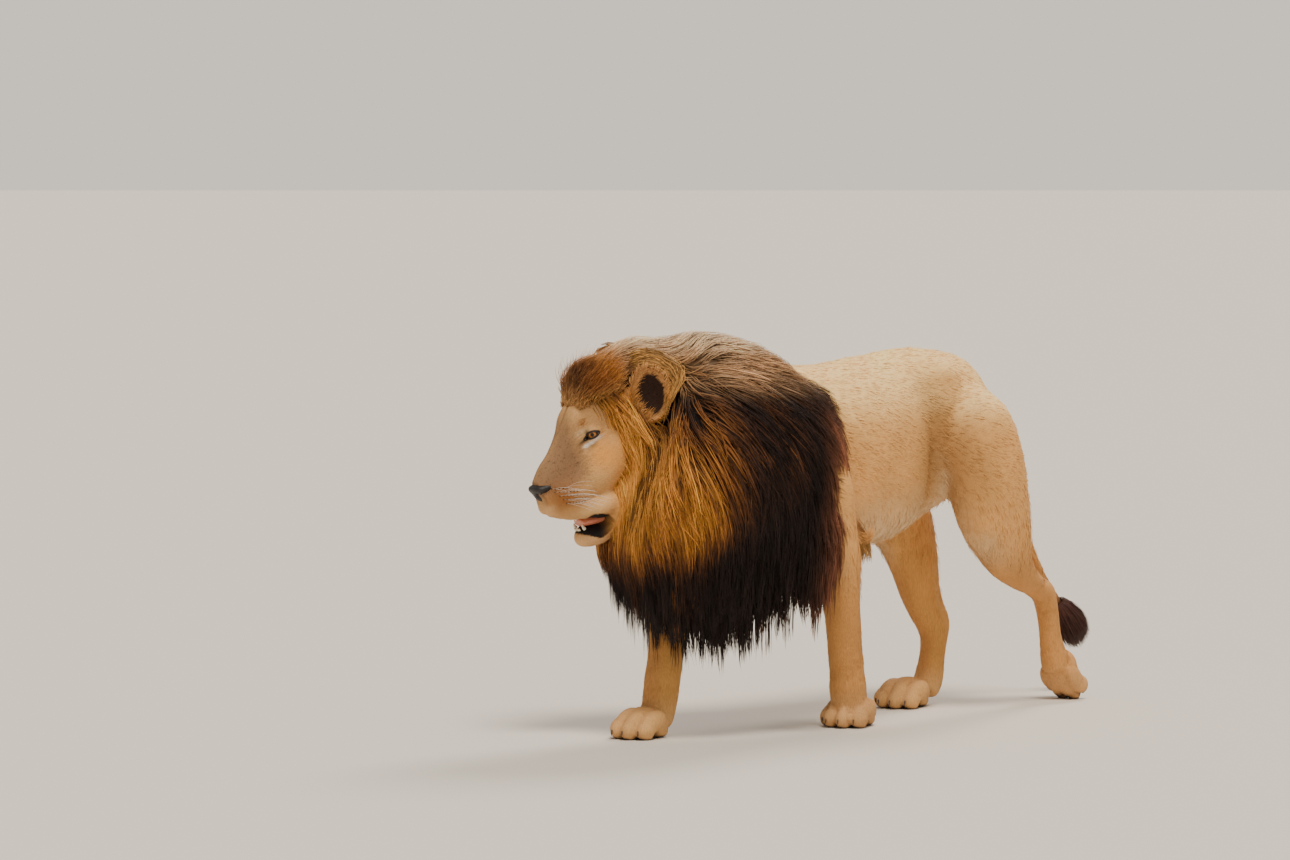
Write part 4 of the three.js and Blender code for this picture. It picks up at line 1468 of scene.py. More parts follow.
def make_mane(skin_surface):
    """The core of the mane and its hair: the ruff round the face, the cape and the chest."""
    rng = np.random.default_rng(SEED)
    outline = Surface(mane_form(0))
    core = make_mane_core()
    core_surface = Surface(core.data)
    paths, ways_out, at_edge = mane_guides(outline, skin_surface, core_surface, rng)
    arcs, arc_out = ear_arcs(outline, rng)
    paths, ways_out = np.vstack([arcs, paths]), np.vstack([arc_out, ways_out])
    at_edge = np.concatenate([np.ones(len(arcs), bool), at_edge])
    hairs, out, t = grow_locks(paths, ways_out, HAIRS_IN_LOCK, rng, 0.020, 0.004, 0.006)
    count = len(hairs)
    lock_tone = np.repeat(rng.normal(0, 0.15, len(paths)), HAIRS_IN_LOCK)
    lock_light = np.repeat(rng.uniform(0.72, 1.22, len(paths)), HAIRS_IN_LOCK)[:, None, None]
    shift = (lock_tone + rng.normal(0, 0.06, count))[:, None] + 0 * t
    tint = mane_colour(hairs.reshape(-1, 3), out.reshape(-1, 3), shift.ravel()).reshape(count, HAIR_RINGS, 3)
    deep_shade = np.where(np.repeat(at_edge, HAIRS_IN_LOCK), 0.9, 0.42)[:, None]
    tint = tint * (deep_shade + (1 - deep_shade) * ramp(t, 0.0, 0.5))[..., None]
    tint *= rng.uniform(0.82, 1.18, (count, 1, 1)) * lock_light
    middle = hairs[:, HAIR_RINGS // 2]
    clump = mottle(middle * (1, 1, 0.2), 0.07, 15) + mottle(middle * (1, 1, 0.3), 0.03, 16)
    tint *= np.clip(1 + 0.2 * clump, 0.5, 1.5)[:, None, None]
    gilded = len(arcs) * HAIRS_IN_LOCK
    tint[:gilded] = GOLD * rng.uniform(0.35, 1.1, (gilded, 1, 1)) * (0.6 + 0.5 * t[:gilded, :, None])
    forward, _, up = in_head(hairs[:, 0]).T
    in_ruff = forward > -130
    widths = tapered(count, 0.0014, rng) * np.where(in_ruff, 0.66, 0.95)[:, None]
    uv = core_surface.bake_place(hairs[:, 0])
    region = np.where(in_ruff, "ruff", np.where(up < -300, "chest", "cape"))
    pieces = []
    for name, finish in (("ruff", "mane_gold"), ("cape", "mane_dark"), ("chest", "mane_dark")):
        chosen = np.flatnonzero(region == name)
        chosen = chosen[np.argsort(hairs[chosen, 0, 1])]
        parts = math.ceil(len(chosen) * (6 * HAIR_RINGS - 8) / MOST_TRIANGLES)
        for part, rows in enumerate(np.array_split(chosen, parts)):
            label = f"mane_{name}_{part + 1}"
            piece = strand_piece(label, hairs[rows], out[rows], widths[rows], 0.35, tint[rows], uv[rows])
            pieces.append((piece, finish))
    print("mane hairs", count)
    return core, pieces


def add_piece(name, mesh):
    """A mesh as a smooth piece of the scene."""
    mesh.polygons.foreach_set("use_smooth", [True] * len(mesh.polygons))
    return in_scene(name, mesh)


def unwrap(thing):
    """An unwrap of the piece's own shape, for baking."""
    thing.data.uv_layers.new(name="OFBake")
    bpy.context.view_layer.objects.active = thing
    thing.select_set(True)
    bpy.ops.object.mode_set(mode="EDIT")
    bpy.ops.mesh.select_all(action="SELECT")
    bpy.ops.uv.smart_project(angle_limit=math.radians(66), island_margin=0.002)
    bpy.ops.object.mode_set(mode="OBJECT")
    thing.select_set(False)


def make_light(name, towards, strength, softness, colour=(1, 0.95, 0.88)):
    """A wide even lamp that shines the given way, its shadows as soft as its breadth in degrees."""
    data = bpy.data.lights.new(name, "SUN")
    data.energy, data.angle, data.color = strength, math.radians(softness), colour
    light = in_scene(name, data)
    light.rotation_mode = "QUATERNION"
    light.rotation_quaternion = Vector(towards).to_track_quat("-Z", "Y")


FLOOR_REACH = 40


def make_studio():
    """A pale floor, three soft lamps and an even sky."""
    bm = bmesh.new()
    bmesh.ops.create_grid(bm, x_segments=1, y_segments=1, size=FLOOR_REACH)
    mesh = mesh_of(bm, "floor")
    floor = in_scene("floor", mesh)
    paint, tree, shader = new_material("pale floor")
    give(tree, shader, {"Base Color": (0.72, 0.66, 0.58, 1), "Roughness": 0.9})
    mesh.materials.append(paint)
    make_light("key", (-0.30, -0.42, -1.0), 2.8, 20, (1, 0.94, 0.84))
    make_light("back", (0.9, 0.25, -0.8), 1.9, 20)
    make_light("fill", (-0.8, -0.6, -0.25), 0.4, 60)
    make_sky()


def make_sky():
    """A pale even light all round, a little brighter to the eye than to the model."""
    world = bpy.data.worlds.new("studio")
    bpy.context.scene.world = world
    world.use_nodes = True
    tree = world.node_tree
    soft = tree.nodes["Background"]
    soft.inputs["Color"].default_value = (0.9, 0.86, 0.8, 1)
    soft.inputs["Strength"].default_value = 0.42
    seen = add_node(tree, "Background", {"Color": (0.90, 0.82, 0.72, 1), "Strength": 1.04})
    by_eye = add_node(tree, "LightPath").outputs["Is Camera Ray"]
    mix = add_node(tree, "MixShader", {0: by_eye, 1: soft.outputs[0], 2: seen.outputs[0]})
    tree.links.new(mix.outputs[0], tree.nodes["World Output"].inputs["Surface"])


# ---------- the pieces of the head ----------
CORNEA_RISE = 1.2  # mm
LID_RIM = 0.0020
NOSE_AT = (160, 0, -91)


def make_eye(side, sign):
    """An eyeball with a clear bulge over its iris. Its map of the iris and pupil runs from its middle."""
    bm = bmesh.new()
    bmesh.ops.create_uvsphere(bm, u_segments=48, v_segments=40, radius=1)
    ball = np.array([v.co for v in bm.verts])
    off = np.degrees(np.arccos(np.clip(ball[:, 2], -1, 1)))
    radius = EYE_RADIUS + CORNEA_RISE * ramp(-off, -38, -20)
    points = from_eye(*(ball * radius[:, None]).T, sign)
    for vert, point in zip(bm.verts, points):
        vert.co = point
    mesh = mesh_of(bm, f"eye_ball_{side}")
    layer = mesh.uv_layers.new(name="gaze")
    at = np.empty(len(mesh.loops), int)
    mesh.loops.foreach_get("vertex_index", at)
    flat = np.column_stack([ball[:, 0], ball[:, 1]]) * 0.5 + 0.5
    flat[ball[:, 2] < 0] = (1.0, 1.0)
    layer.data.foreach_set("uv", flat[at].ravel())
    return add_piece(f"eye_ball_{side}", mesh)


def add_tube(points, radius, name):
    """A round tube along a closed line of points, as a mesh piece."""
    data = bpy.data.curves.new(name, "CURVE")
    data.dimensions = "3D"
    data.bevel_depth, data.bevel_resolution, data.use_fill_caps = radius, 3, True
    line = data.splines.new("POLY")
    line.points.add(len(points) - 1)
    for point, place in zip(line.points, points):
        point.co = (*place, 1)
    line.use_cyclic_u = True
    thing = in_scene(name, data)
    mesh = bpy.data.meshes.new_from_object(thing.evaluated_get(bpy.context.evaluated_depsgraph_get()))
    bpy.data.objects.remove(thing)
    bpy.data.curves.remove(data)
    bm = bmesh.new()
    bm.from_mesh(mesh)
    bpy.data.meshes.remove(mesh)
    bmesh.ops.remove_doubles(bm, verts=bm.verts, dist=1e-6)
    return add_piece(name, mesh_of(bm, name))


def make_lids(side, sign):
    """The black rim of the lids, an even round tube along the edge of their opening."""
    edge = closed_ring(LID_EDGE, 90)
    out = lid_height(edge[:, 0], edge[:, 1], 1.6)
    return add_tube(from_eye(edge[:, 0], edge[:, 1], out, sign), LID_RIM, f"lid_rim_{side}")


def make_nose_pad():
    """The bare nose: broad between the nostrils above, narrow at the groove of the lip below."""
    bm = bmesh.new()

    def move(p):
        p = np.sign(p) * np.abs(p) ** 0.78
        up = p[:, 2]
        width = np.interp(up, [-1, -0.6, 0, 0.5, 1], [9, 15, 28, 38, 46])
        deep = np.interp(up, [-1, 0, 1], [27, 29, 34])
        back = np.where(p[:, 0] < 0, np.interp(up, [-1, 0, 1], [0.7, 1.2, 1.75]), 0.9)
        points = np.column_stack([p[:, 0] * deep * back + 7 * up, p[:, 1] * width, up * 25])
        return on_head(points @ turned((0, -8, 0)) + NOSE_AT)

    add_ball_moved(bm, 56, 44, move)
    mesh = mesh_of(bm, "nose_pad")
    dents = both_sides([((NOSE_AT[0] + 20, 15, NOSE_AT[2] + 1), (12, 7, 8), (0, 0, 20), -9)])
    dents += both_sides([((NOSE_AT[0] + 12, 27, NOSE_AT[2] - 3), (12, 6, 5), (0, 0, 20), -6)])
    dents += [((NOSE_AT[0] + 22, 0, NOSE_AT[2] - 12), (10, 2.4, 20), (0, 0, 0), -3)]
    set_points(mesh, bulge(points_of(mesh), normals_of(mesh), dents, on_head))
    return add_piece("nose_pad", mesh)


def add_loft_piece(name, lofts, around=16, along=24):
    """One piece of lofts on the head."""
    bm = bmesh.new()
    for stations in lofts:
        add_loft(bm, stations, on_head, around, along)
    return add_piece(name, mesh_of(bm, name))


TONGUE = [(-10, 0, -228, 24, 9, 9), (36, 0, -218, 36, 12, 14)]
TONGUE += [(76, 0, -207, 39, 13, 15), (103, 0, -205, 29, 10, 10)]
UPPER_CANINE = [(118, 31, -170, 5, 6, 6), (118, 31, -180, 4, 4, 4), (116, 30, -189, 1.5, 2, 2)]
LOWER_CANINE = [(101, 25, -222, 4, 5, 5), (104, 25, -214, 3.4, 4, 4), (104, 24, -207, 1.5, 2, 2)]


def make_mouth_parts():
    """The tongue behind the lower teeth, and the teeth that show between the open jaws."""
    tongue = add_loft_piece("tongue_soft", [TONGUE], around=32, along=32)
    teeth = []
    for _, sign in SIDES:
        for canine in (UPPER_CANINE, LOWER_CANINE):
            teeth.append([(forward, left * sign, *rest) for forward, left, *rest in canine])
        for index in range(3):
            left = sign * (3.4 + 5.4 * index)
            teeth.append([(113 - index, left, -222, 2.2, 2.2, 2.2), (114 - index, left, -215, 1.7, 1.6, 1.6)])
    return tongue, add_loft_piece("teeth_set", teeth, around=12, along=16)


# The height of each row of whiskers on the head and its count.
WHISKER_ROWS = [(-84, 5), (-95, 7), (-106, 8), (-117, 8), (-128, 7)]
WHISKER_SPOT = 0.0017


def whisker_roots(skin_surface):
    """Where the whiskers grow on the sides of the upper lip."""
    places, ways = [], []
    for _, sign in SIDES:
        for row, (up, count) in enumerate(WHISKER_ROWS):
            for index in range(count):
                forward = 148 - 8 * index - 3 * row
                start = Vector(on_head((forward, 110 * sign, up - 3 * index)))
                towards = Vector(HEAD_TURN @ np.array((0, -sign, 0)))
                hit, normal, _, _ = skin_surface.tree.ray_cast(start, towards, 0.11)
                if hit:
                    places.append(hit)
                    ways.append(normal)
    return np.array(places), np.array(ways)


def make_whiskers(skin_surface):
    """Pale curved whiskers, and the dark spots that they grow from."""
    rng = np.random.default_rng(SEED + 1)
    roots, normals = whisker_roots(skin_surface)
    spots = bmesh.new()
    for root in roots:
        add_ball_moved(spots, 8, 6, lambda ball: ball * WHISKER_SPOT + root)
    dots = add_piece("whisker_spots", mesh_of(spots, "whisker_spots"))
    sign = np.sign(in_head(roots)[:, 1])
    lengths = rng.uniform(0.05, 0.11, len(roots))[:, None, None]
    back = rows_of(-0.9, 0.5 * sign, -0.25) @ HEAD_TURN.T
    way = unit(normals * 0.7 + back * 0.8 + rng.normal(0, 0.1, (len(roots), 3)))
    t = ALONG_HAIR[None, :, None]
    drop = np.array((0, 0, -1.0)) * 0.25 * t**2
    curl = (back[:, None] - way[:, None]) * 0.35 * t**2
    paths = roots[:, None] + (way[:, None] * t + drop + curl) * lengths
    over = at_each_ring(unit(np.cross(way, np.array((0, 0, 1.0)))))
    widths = np.tile(np.interp(ALONG_HAIR, [0, 0.7, 1], [0.00026, 0.0002, 0.0001]), (len(roots), 1))
    tint = np.tile(WHITE, (len(roots), HAIR_RINGS, 1))
    hairs = strand_piece("whiskers", paths, over, widths, 0.8, tint, skin_surface.bake_place(roots))
    return dots, hairs


def make_claws():
    """The tips of the claws, between the fur and the pad of each toe."""
    bm = bmesh.new()
    for paw in PAWS.values():
        put = on_paw(paw)
        for forward, left in TOES:
            tip = forward + 29
            stations = [
                (tip - 12, left, 27, 3.2, 5, 5),
                (tip - 3, left, 25, 2.8, 4.4, 4.4),
                (tip + 3, left, 17, 1.8, 2.6, 2.6),
                (tip + 2, left, 10, 0.8, 1, 1),
            ]
            add_loft(bm, stations, put, 10, 14)
    mesh = mesh_of(bm, "claw_tips")
    set_points(mesh, over_floor(points_of(mesh)))
    return add_piece("claw_tips", mesh)


# ---------- the short coat ----------
TUFTS = 34000
COAT_PIECES = 3
ROOT_DEPTH = 0.0010  # how far each tuft starts inside the skin


def lie_of_coat(points):
    """The way that the short coat runs: back from the nose, back along the trunk and down the legs."""
    x, _, z = in_tables(points).T
    _, left, up = in_head(points).T
    leg = ramp(-z, -640, -500)[:, None]
    way = np.array((-1.0, 0, -0.35)) * (1 - leg) + np.array((-0.25, 0, -1.0)) * leg
    paw = ramp(-z, -75, -45)[:, None] * ramp(x, -700, -690)[:, None]
    way = way * (1 - paw) + np.array((1.0, 0, -0.3)) * paw
    side = np.sign(left) * ramp(np.abs(left), 4, 40)
    face = rows_of(-1.0, 0.35 * side, 0.35 * ramp(up, -60, 20) - 0.35 * ramp(-up, 90, 180)) @ HEAD_TURN.T
    return unit(way + (face - way) * on_face(x, z)[:, None])


def tuft_length(points, normals):
    """Millimetres: longest behind the elbows, under the belly and at the cheeks, least at nose and toes."""
    x, _, z = in_tables(points).T
    forward, _, up = in_head(points).T
    ahead, _, upward = normals.T
    length = np.full(len(x), 26.0)
    length += 16 * ramp(-upward, 0.3, 0.9) * ramp(z, 380, 440) * ramp(-x, -260, -180)
    length += 14 * near_spot((x, z), (226, 470), (40, 60)) * ramp(-ahead, 0.2, 0.8)
    length -= 9 * ramp(-z, -420, -300) + 4 * ramp(-z, -120, -60)
    length += 8 * ramp(-ahead, 0.5, 0.9) * ramp(-z, -420, -380) * ramp(z, 120, 180)
    length += 12 * near_spot((x, z), (-490, 420), (60, 160)) * ramp(-ahead, 0.3, 0.8)
    face = 6 + 7 * ramp(-forward, -110, -20) + 8 * ramp(-forward, -10, 50) + 16 * ramp(-up, 236, 262)
    return length + (face - length) * on_face(x, z)


def bare(points):
    """Where no fur grows or shows: the mouth, between the lids, the nose pad, soles and under the mane."""
    x, _, z = in_tables(points).T
    forward, left, up = in_head(points).T
    hidden = (under_mane(x, z) > 0.9) & (x < 700)
    hidden |= z < 6
    hidden |= (forward > 130) & (np.abs(left) < 26) & (up < -62) & (up > -106)
    hidden |= lips_and_mouth_shade(forward, up) > 0.3
    for _, sign in SIDES:
        across, over, out = at_eye(points, sign)
        near = (np.hypot(across, over) < 40) & (out > -20) & (out < 50)
        hidden[near] |= outside_lids(across[near], over[near]) < 3.5
    return hidden | ((forward < -150) & (np.abs(left) < 60) & (x > 640))


def make_short_coat(skin_surface):
    """The short coat over the whole skin, as flat tufts in three pieces from back to front."""
    rng = np.random.default_rng(SEED + 2)
    middle = skin_surface.middles()
    x, _, z = in_tables(middle).T
    density = np.where((x > 660) & (z > 440), 4.0, np.where(z < 160, 1.6, 1.0))
    density = np.where(bare(middle), 0, density)
    roots, normals, uv = skin_surface.scatter(TUFTS, rng, density)
    count = len(roots)
    length = tuft_length(roots, normals) * rng.uniform(0.75, 1.25, count) * MM
    way = along_surface(lie_of_coat(roots) + rng.normal(0, 0.16, roots.shape), normals)
    fringe = ramp(length, 0.024, 0.036)
    rise = length * (rng.uniform(0.0, 0.045, count) + 0.16 * fringe * rng.random(count))
    tips, out, _ = skin_surface.nearest(roots + way * length[:, None])
    tips = tips + out * rise[:, None]
    middles = (roots + tips) / 2 + normals * (rise * 0.45)[:, None]
    paths = np.stack([roots - normals * ROOT_DEPTH, middles, tips], axis=1)
    paths = over_floor(paths, FLOOR_GAP + 0.001)
    over = np.repeat(normals[:, None], 3, axis=1)
    width = np.interp(length, [0.004, 0.014, 0.03, 0.045], [0.0006, 0.0011, 0.0017, 0.0016])
    widths = width[:, None] * np.array([[1.0, 0.9, 0.1]]) * rng.uniform(0.8, 1.2, (count, 1))
    tint = coat_colour(roots, normals) * rng.uniform(0.95, 1.05, (count, 1))
    colours = tint[:, None] * np.array([0.97, 1.0, 1.03])[None, :, None]
    pieces = []
    for part, rows in enumerate(np.array_split(np.argsort(roots[:, 0]), COAT_PIECES)):
        label = f"coat_{part + 1}"
        piece = strand_piece(label, paths[rows], over[rows], widths[rows], 0.11, colours[rows], uv[rows])
        piece.data.polygons.foreach_set("use_smooth", [False] * len(piece.data.polygons))
        pieces.append(piece)
    return pieces


# ---------- the forelock ----------
FORELOCK_HAIRS = 3600
FORELOCK_SIDE = -0.31  # no hair of it reaches further to the right, in metres


def make_forelock(skin_surface):
    """A brush of hair that stands up from the forehead and bends back at its tips."""
    rng = np.random.default_rng(SEED + 4)
    forward, left, up = in_head(skin_surface.middles()).T
    grows = (forward > -120) & (forward < 10 - 0.16 * np.abs(left)) & (up > 64) & (np.abs(left) < 86)
    roots, normals, uv = skin_surface.scatter(FORELOCK_HAIRS, rng, np.where(grows, 1.0, 0.0))
    count = len(roots)
    forward, left, up = in_head(roots).T
    inside = np.minimum(ramp(10 - 0.16 * np.abs(left) - forward, 0, 44), ramp(up, 60, 84))
    rise = unit(rows_of(0.55, 0.011 * left, 1.0)) @ HEAD_TURN.T
    back = unit(rows_of(-1.0, 0.008 * left, -0.05)) @ HEAD_TURN.T
    way = unit(rise + 0.35 * normals + rng.normal(0, 0.13, roots.shape))
    lengths = rng.uniform(0.55, 1.1, count) * (0.02 + 0.076 * inside)
    stray = (rng.random(count) < 0.05) & (inside > 0.6)
    lengths = np.where(stray, rng.uniform(0.1, 0.135, count), lengths)
    t = ALONG_HAIR[None, :, None]
    bend = (back[:, None] + rng.normal(0, 0.12, (count, 1, 3))) * 0.55 * t**2
    paths = roots[:, None] + (way[:, None] * t * (1 - 0.25 * t) + bend) * lengths[:, None, None]
    over = at_each_ring(unit(np.cross(way, np.cross(rise, way) + 1e-6)))
    points = paths.reshape(-1, 3)
    tint = mane_colour(points, over.reshape(-1, 3), 0 * points[:, 0]).reshape(paths.shape)
    tint = FACE_TAN + (tint - FACE_TAN) * (0.25 + 0.75 * inside)[:, None, None]
    tint = tint * (0.6 + 0.6 * t) * rng.uniform(0.75, 1.2, (count, 1, 1))
    widths = tapered(count, 0.0008, rng) * np.where(stray, 0.45, 1.0)[:, None]
    kept = paths[..., 1].min(axis=1) > FORELOCK_SIDE
    return strand_piece("forelock", paths[kept], over[kept], widths[kept], 0.5, tint[kept], uv[kept])


ELBOW_CURL = [(288, 192, 566), (256, 200, 512), (226, 206, 490), (200, 210, 496), (184, 208, 522)]
ELBOW_LOCK = [(256, 190, 520), (232, 196, 492), (210, 194, 458), (200, 188, 428)]


def lock_strands(line, apart, hairs, low, high, rng):
    """Hairs that follow one line of places, drawn together towards its end, with a tint from low to high."""
    guides = moved(curve(line, np.linspace(0, 1, 14)))[None] + rng.normal(0, 1, (hairs // 10, 1, 3)) * apart
    out = np.tile(np.array((0.0, 1.0, 0.0)), (len(guides), 14, 1))
    paths, over, t = grow_locks(guides, out, 10, rng, 0.009, 0.003, 0.005)
    tint = (low + (high - low) * ramp(t, 0.1, 0.75)[..., None]) * rng.uniform(0.75, 1.2, (len(paths), 1, 1))
    return paths, over, tint


def make_elbow_curl(skin_surface):
    """The long lock behind the left elbow, which turns up at its tip, and the softer hair under it."""
    rng = np.random.default_rng(SEED + 5)
    curl = lock_strands(ELBOW_CURL, (0.005, 0.004, 0.005), 260, tone(186, 136, 80), tone(226, 164, 92), rng)
    lock = lock_strands(ELBOW_LOCK, (0.013, 0.007, 0.009), 320, tone(150, 104, 60), tone(196, 150, 86), rng)
    hairs, over, tint = (np.concatenate(both) for both in zip(curl, lock))
    uv = skin_surface.bake_place(hairs[:, 0])
    return strand_piece("elbow_curl", hairs, over, tapered(len(hairs), 0.0007, rng), 0.5, tint, uv)


# ---------- the tuft of the tail ------------------------------
TAIL_HAIRS = 1500


def make_tail_tuft(skin_surface):
    """Dark hair from the last part of the tail, drawn together in a rounded tuft."""
    rng = np.random.default_rng(SEED + 3)
    each = (TAIL_HAIRS, 1)
    low, high = (np.array(corner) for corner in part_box("tail_tuft"))
    middle, half = (low + high) / 2, (high - low) / 2
    line = moved(curve(TAIL, np.linspace(0.94, 1.0, 40))[:, :3])
    pick = rng.integers(0, len(line), TAIL_HAIRS)
    heading = unit(line[-1] - line[0])
    around = rng.normal(size=(TAIL_HAIRS, 3))
    around = unit(around - (around @ heading)[:, None] * heading)
    roots = line[pick] + around * 0.014
    spread = unit(around + heading * rng.uniform(0.1, 2.0, each)) * half * rng.uniform(0.58, 0.86, each)
    ends = middle + heading * half.max() * 0.5 + spread
    paths = bowed(roots, roots + around * 0.03 + heading * 0.02, ends, ALONG_HAIR[None, :, None])
    tint = np.tile(TAIL_DARK, (TAIL_HAIRS, HAIR_RINGS, 1)) * rng.uniform(0.6, 1.5, (TAIL_HAIRS, 1, 1))
    uv = skin_surface.bake_place(roots)
    widths = tapered(TAIL_HAIRS, 0.0013, rng)
    return strand_piece("tail_hair", paths, at_each_ring(around), widths, 0.4, tint, uv)


# ---------- materials ----------
def give(tree, node, values):
    """Sets the inputs of a node, by name or number, or links them to the output given as the value."""
    for key, value in values.items():
        if isinstance(value, bpy.types.NodeSocket):
            tree.links.new(value, node.inputs[key])
        else:
            node.inputs[key].default_value = value


def add_node(tree, kind, values=None, operation=None):
    """A new node, the sum or change that it works out, and what goes into it."""
    node = tree.nodes.new("ShaderNode" + kind)
    if operation:
        node.operation = operation
    give(tree, node, values or {})
    return node


def new_material(name):
    """A material, its tree of nodes and its shader."""
    material = bpy.data.materials.new(name)
    material.use_nodes = True
    return material, material.node_tree, material.node_tree.nodes["Principled BSDF"]


def new_group(name, numbers, mask):
    """An effect with numbers to set and two outputs, its mask and its normal; what comes in and goes out."""
    group = bpy.data.node_groups.new(name, "ShaderNodeTree")
    for label, value in numbers.items():
        made = group.interface.new_socket(label, in_out="INPUT", socket_type="NodeSocketFloat")
        made.default_value = value
    group.interface.new_socket(mask, in_out="OUTPUT", socket_type="NodeSocketFloat")
    group.interface.new_socket("Normal", in_out="OUTPUT", socket_type="NodeSocketVector")
    return group, group.nodes.new("NodeGroupInput").outputs, group.nodes.new("NodeGroupOutput")


def add_effect(tree, group, numbers):
    """An effect in a material, with its numbers."""
    effect = tree.nodes.new("ShaderNodeGroup")
    effect.node_tree = group
    give(tree, effect, numbers)
    return effect


def fur_grain_group():
    """Fine streaks of the coat: along the trunk where Down is 0, and down the legs where it is 1."""
    numbers = {"Fineness": 300.0, "Stretch": 0.12, "Down": 0.0, "Depth": 0.4}
    group, given, put = new_group("fur grain", numbers, "Streaks")
    place = add_node(group, "TexCoord").outputs["Object"]
    streaks = []
    for along in "XZ":
        shares = {axis: given["Stretch"] if axis == along else 1 for axis in "XYZ"}
        stretch = add_node(group, "CombineXYZ", shares).outputs[0]
        scaled = add_node(group, "VectorMath", {0: place, 1: stretch}, "MULTIPLY").outputs[0]
        noise = {"Vector": scaled, "Scale": given["Fineness"], "Detail": 4, "Roughness": 0.6}
        streaks.append(add_node(group, "TexNoise", noise).outputs[0])
    blend = add_node(group, "Mix", {0: given["Down"], 2: streaks[0], 3: streaks[1]}).outputs[0]
    bumped = add_node(group, "Bump", {"Distance": 0.003, "Strength": given["Depth"], "Height": blend})
    give(group, put, {"Streaks": blend, "Normal": bumped.outputs[0]})
    return group


def tinted_by(tree, mask, low, high):
    """The piece's own tint, made darker and lighter by a mask."""
    tint = add_node(tree, "VertexColor")
    tint.layer_name = "tint"
    limits = {"From Min": 0.3, "From Max": 0.7, "To Min": low, "To Max": high, "Value": mask}
    level = add_node(tree, "MapRange", limits).outputs["Result"]
    return add_node(tree, "VectorMath", {0: tint.outputs["Color"], "Scale": level}, "SCALE").outputs[0]


def coat_material(name, grain, fineness, stretch, depth, low, high, roughness):
    """Hair that takes its colour from the piece's tint, with streaks along its lie."""
    material, tree, shader = new_material(name)
    fur = add_effect(tree, grain, {"Fineness": fineness, "Stretch": stretch, "Depth": depth})
    place = add_node(tree, "TexCoord").outputs["Object"]
    height = add_node(tree, "SeparateXYZ", {0: place}).outputs["Z"]
    down = add_node(tree, "MapRange", {"From Min": 0.62, "From Max": 0.48, "Value": height})
    give(tree, fur, {"Down": down.outputs["Result"]})
    colour = tinted_by(tree, fur.outputs["Streaks"], low, high)
    give(tree, shader, {"Base Color": colour, "Normal": fur.outputs["Normal"]})
    give(tree, shader, {"Roughness": roughness, "Specular IOR Level": 0.25})
    return material


IRIS = [  # how far from the middle, and the colour there
    (0.0, tone(6, 5, 5)),
    (0.125, tone(6, 5, 5)),
    (0.145, tone(120, 70, 24)),
    (0.21, tone(184, 118, 42)),
    (0.285, tone(124, 72, 28)),
    (0.315, tone(34, 22, 16)),
    (0.36, tone(92, 74, 62)),
]


def eye_material():
    """Amber iris with fine spokes, a round black pupil and a dark rim, wet on top."""
    material, tree, shader = new_material("eye amber")
    gaze = add_node(tree, "UVMap")
    gaze.uv_map = "gaze"
    middle = add_node(tree, "VectorMath", {0: gaze.outputs[0], 1: (0.5, 0.5, 0)}, "SUBTRACT").outputs[0]
    away = add_node(tree, "VectorMath", {0: middle}, "LENGTH").outputs["Value"]
    spoke = add_node(tree, "VectorMath", {0: middle}, "NORMALIZE").outputs[0]
    fibres = add_node(tree, "TexNoise", {"Vector": spoke, "Scale": 9, "Detail": 5}).outputs[0]
    shifted = add_node(tree, "Math", {0: fibres, 1: 0.05, 2: away}, "MULTIPLY_ADD").outputs[0]
    rings = add_node(tree, "ValToRGB", {0: shifted})
    while len(rings.color_ramp.elements) < len(IRIS):
        rings.color_ramp.elements.new(1.0)
    for element, (place, colour) in zip(rings.color_ramp.elements, IRIS):
        element.position = place
        element.color = (*colour, 1)
    give(tree, shader, {"Base Color": rings.outputs[0], "Roughness": 0.35, "Specular IOR Level": 0.2})
    give(tree, shader, {"Coat Weight": 0.35, "Coat Roughness": 0.03})
    return material


def leather_group():
    """Fine pebbles, as on a nose pad or wet lips."""
    group, given, put = new_group("skin pebbles", {"Fineness": 500.0, "Depth": 0.4}, "Mask")
    place = add_node(group, "TexCoord").outputs["Object"]
    cells = add_node(group, "TexVoronoi", {"Vector": place, "Scale": given["Fineness"]}).outputs["Distance"]
    bumped = add_node(group, "Bump", {"Distance": 0.001, "Strength": given["Depth"], "Height": cells})
    give(group, put, {"Mask": cells, "Normal": bumped.outputs[0]})
    return group


def smooth_material(name, pebbles, low, high, roughness, fineness, depth, coat=0.0):
    """Bare skin, tongue, tooth or claw: two near colours over fine pebbles."""
    material, tree, shader = new_material(name)
    effect = add_effect(tree, pebbles, {"Fineness": fineness, "Depth": depth})
    mix = add_node(tree, "Mix")
    mix.data_type = "RGBA"
    give(tree, mix, {0: effect.outputs["Mask"], 6: (*tone(*low), 1), 7: (*tone(*high), 1)})
    give(tree, shader, {"Base Color": mix.outputs[2], "Normal": effect.outputs["Normal"]})
    give(tree, shader, {"Roughness": roughness, "Coat Weight": coat})
    return material


def finish_piece(piece, finish, material, *nodes):
    """Paints a piece, and lets it stand for nodes of the model."""
    piece.data.materials.append(material)
    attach(piece, "root")
    if nodes:
        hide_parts(*nodes)


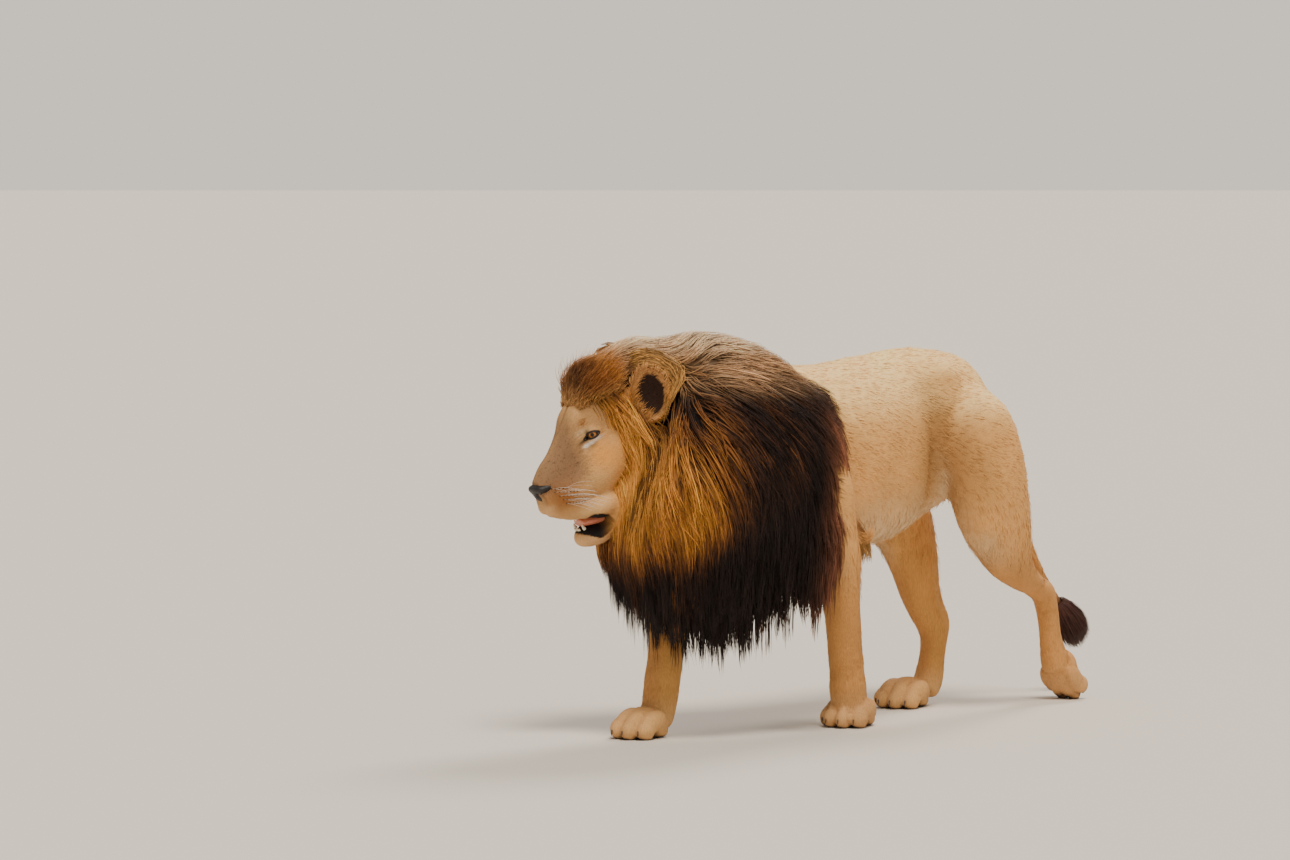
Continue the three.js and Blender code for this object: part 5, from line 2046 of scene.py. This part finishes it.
make_camera()
make_studio()
grain = fur_grain_group()
pebbles = leather_group()
short_coat = coat_material("short coat", grain, 420, 0.14, 0.35, 0.82, 1.14, 0.75)
long_hair = coat_material("mane hair", grain, 700, 0.2, 0.15, 0.85, 1.15, 0.62)
eye_paint = eye_material()
black_skin = smooth_material("black nose skin", pebbles, (16, 13, 13), (40, 34, 33), 0.42, 620, 0.5)
tongue_skin = smooth_material("tongue", pebbles, (206, 112, 84), (222, 140, 108), 0.4, 700, 0.6, 0.3)
tooth_bone = smooth_material("tooth", pebbles, (232, 220, 190), (240, 232, 208), 0.3, 200, 0.1, 0.2)
claw_horn = smooth_material("claw horn", pebbles, (70, 58, 48), (104, 88, 72), 0.35, 300, 0.2)
whisker_white = smooth_material("whisker", pebbles, (236, 230, 218), (244, 240, 232), 0.4, 300, 0.1)

skin = make_skin()
skin_surface = Surface(skin.data)
flesh = [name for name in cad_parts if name.startswith(FLESH)]
finish_piece(skin, "short_coat", short_coat, *flesh)
for piece in make_short_coat(skin_surface):
    finish_piece(piece, "short_coat", short_coat)
core, mane = make_mane(skin_surface)
finish_piece(core, "mane_dark", long_hair, "mane_ruff", "mane_neck", "mane_chest")
for piece, finish in mane:
    finish_piece(piece, finish, long_hair)
finish_piece(make_forelock(skin_surface), "mane_gold", long_hair)
finish_piece(make_elbow_curl(skin_surface), "mane_gold", long_hair)
finish_piece(make_ear_hair(skin_surface), "mane_gold", long_hair)
finish_piece(make_tail_tuft(skin_surface), "mane_dark", long_hair, "tail_tuft")
for side, sign in SIDES:
    finish_piece(make_eye(side, sign), "eye", eye_paint, f"eye_{side}")
    finish_piece(make_lids(side, sign), "nose_skin", black_skin)
finish_piece(make_nose_pad(), "nose_skin", black_skin, "nose")
tongue, teeth = make_mouth_parts()
finish_piece(tongue, "mouth", tongue_skin, "tongue")
finish_piece(teeth, "tooth", tooth_bone)
finish_piece(make_claws(), "claw", claw_horn)
spots, whiskers = make_whiskers(skin_surface)
finish_piece(spots, "nose_skin", black_skin)
finish_piece(whiskers, "tooth", whisker_white)
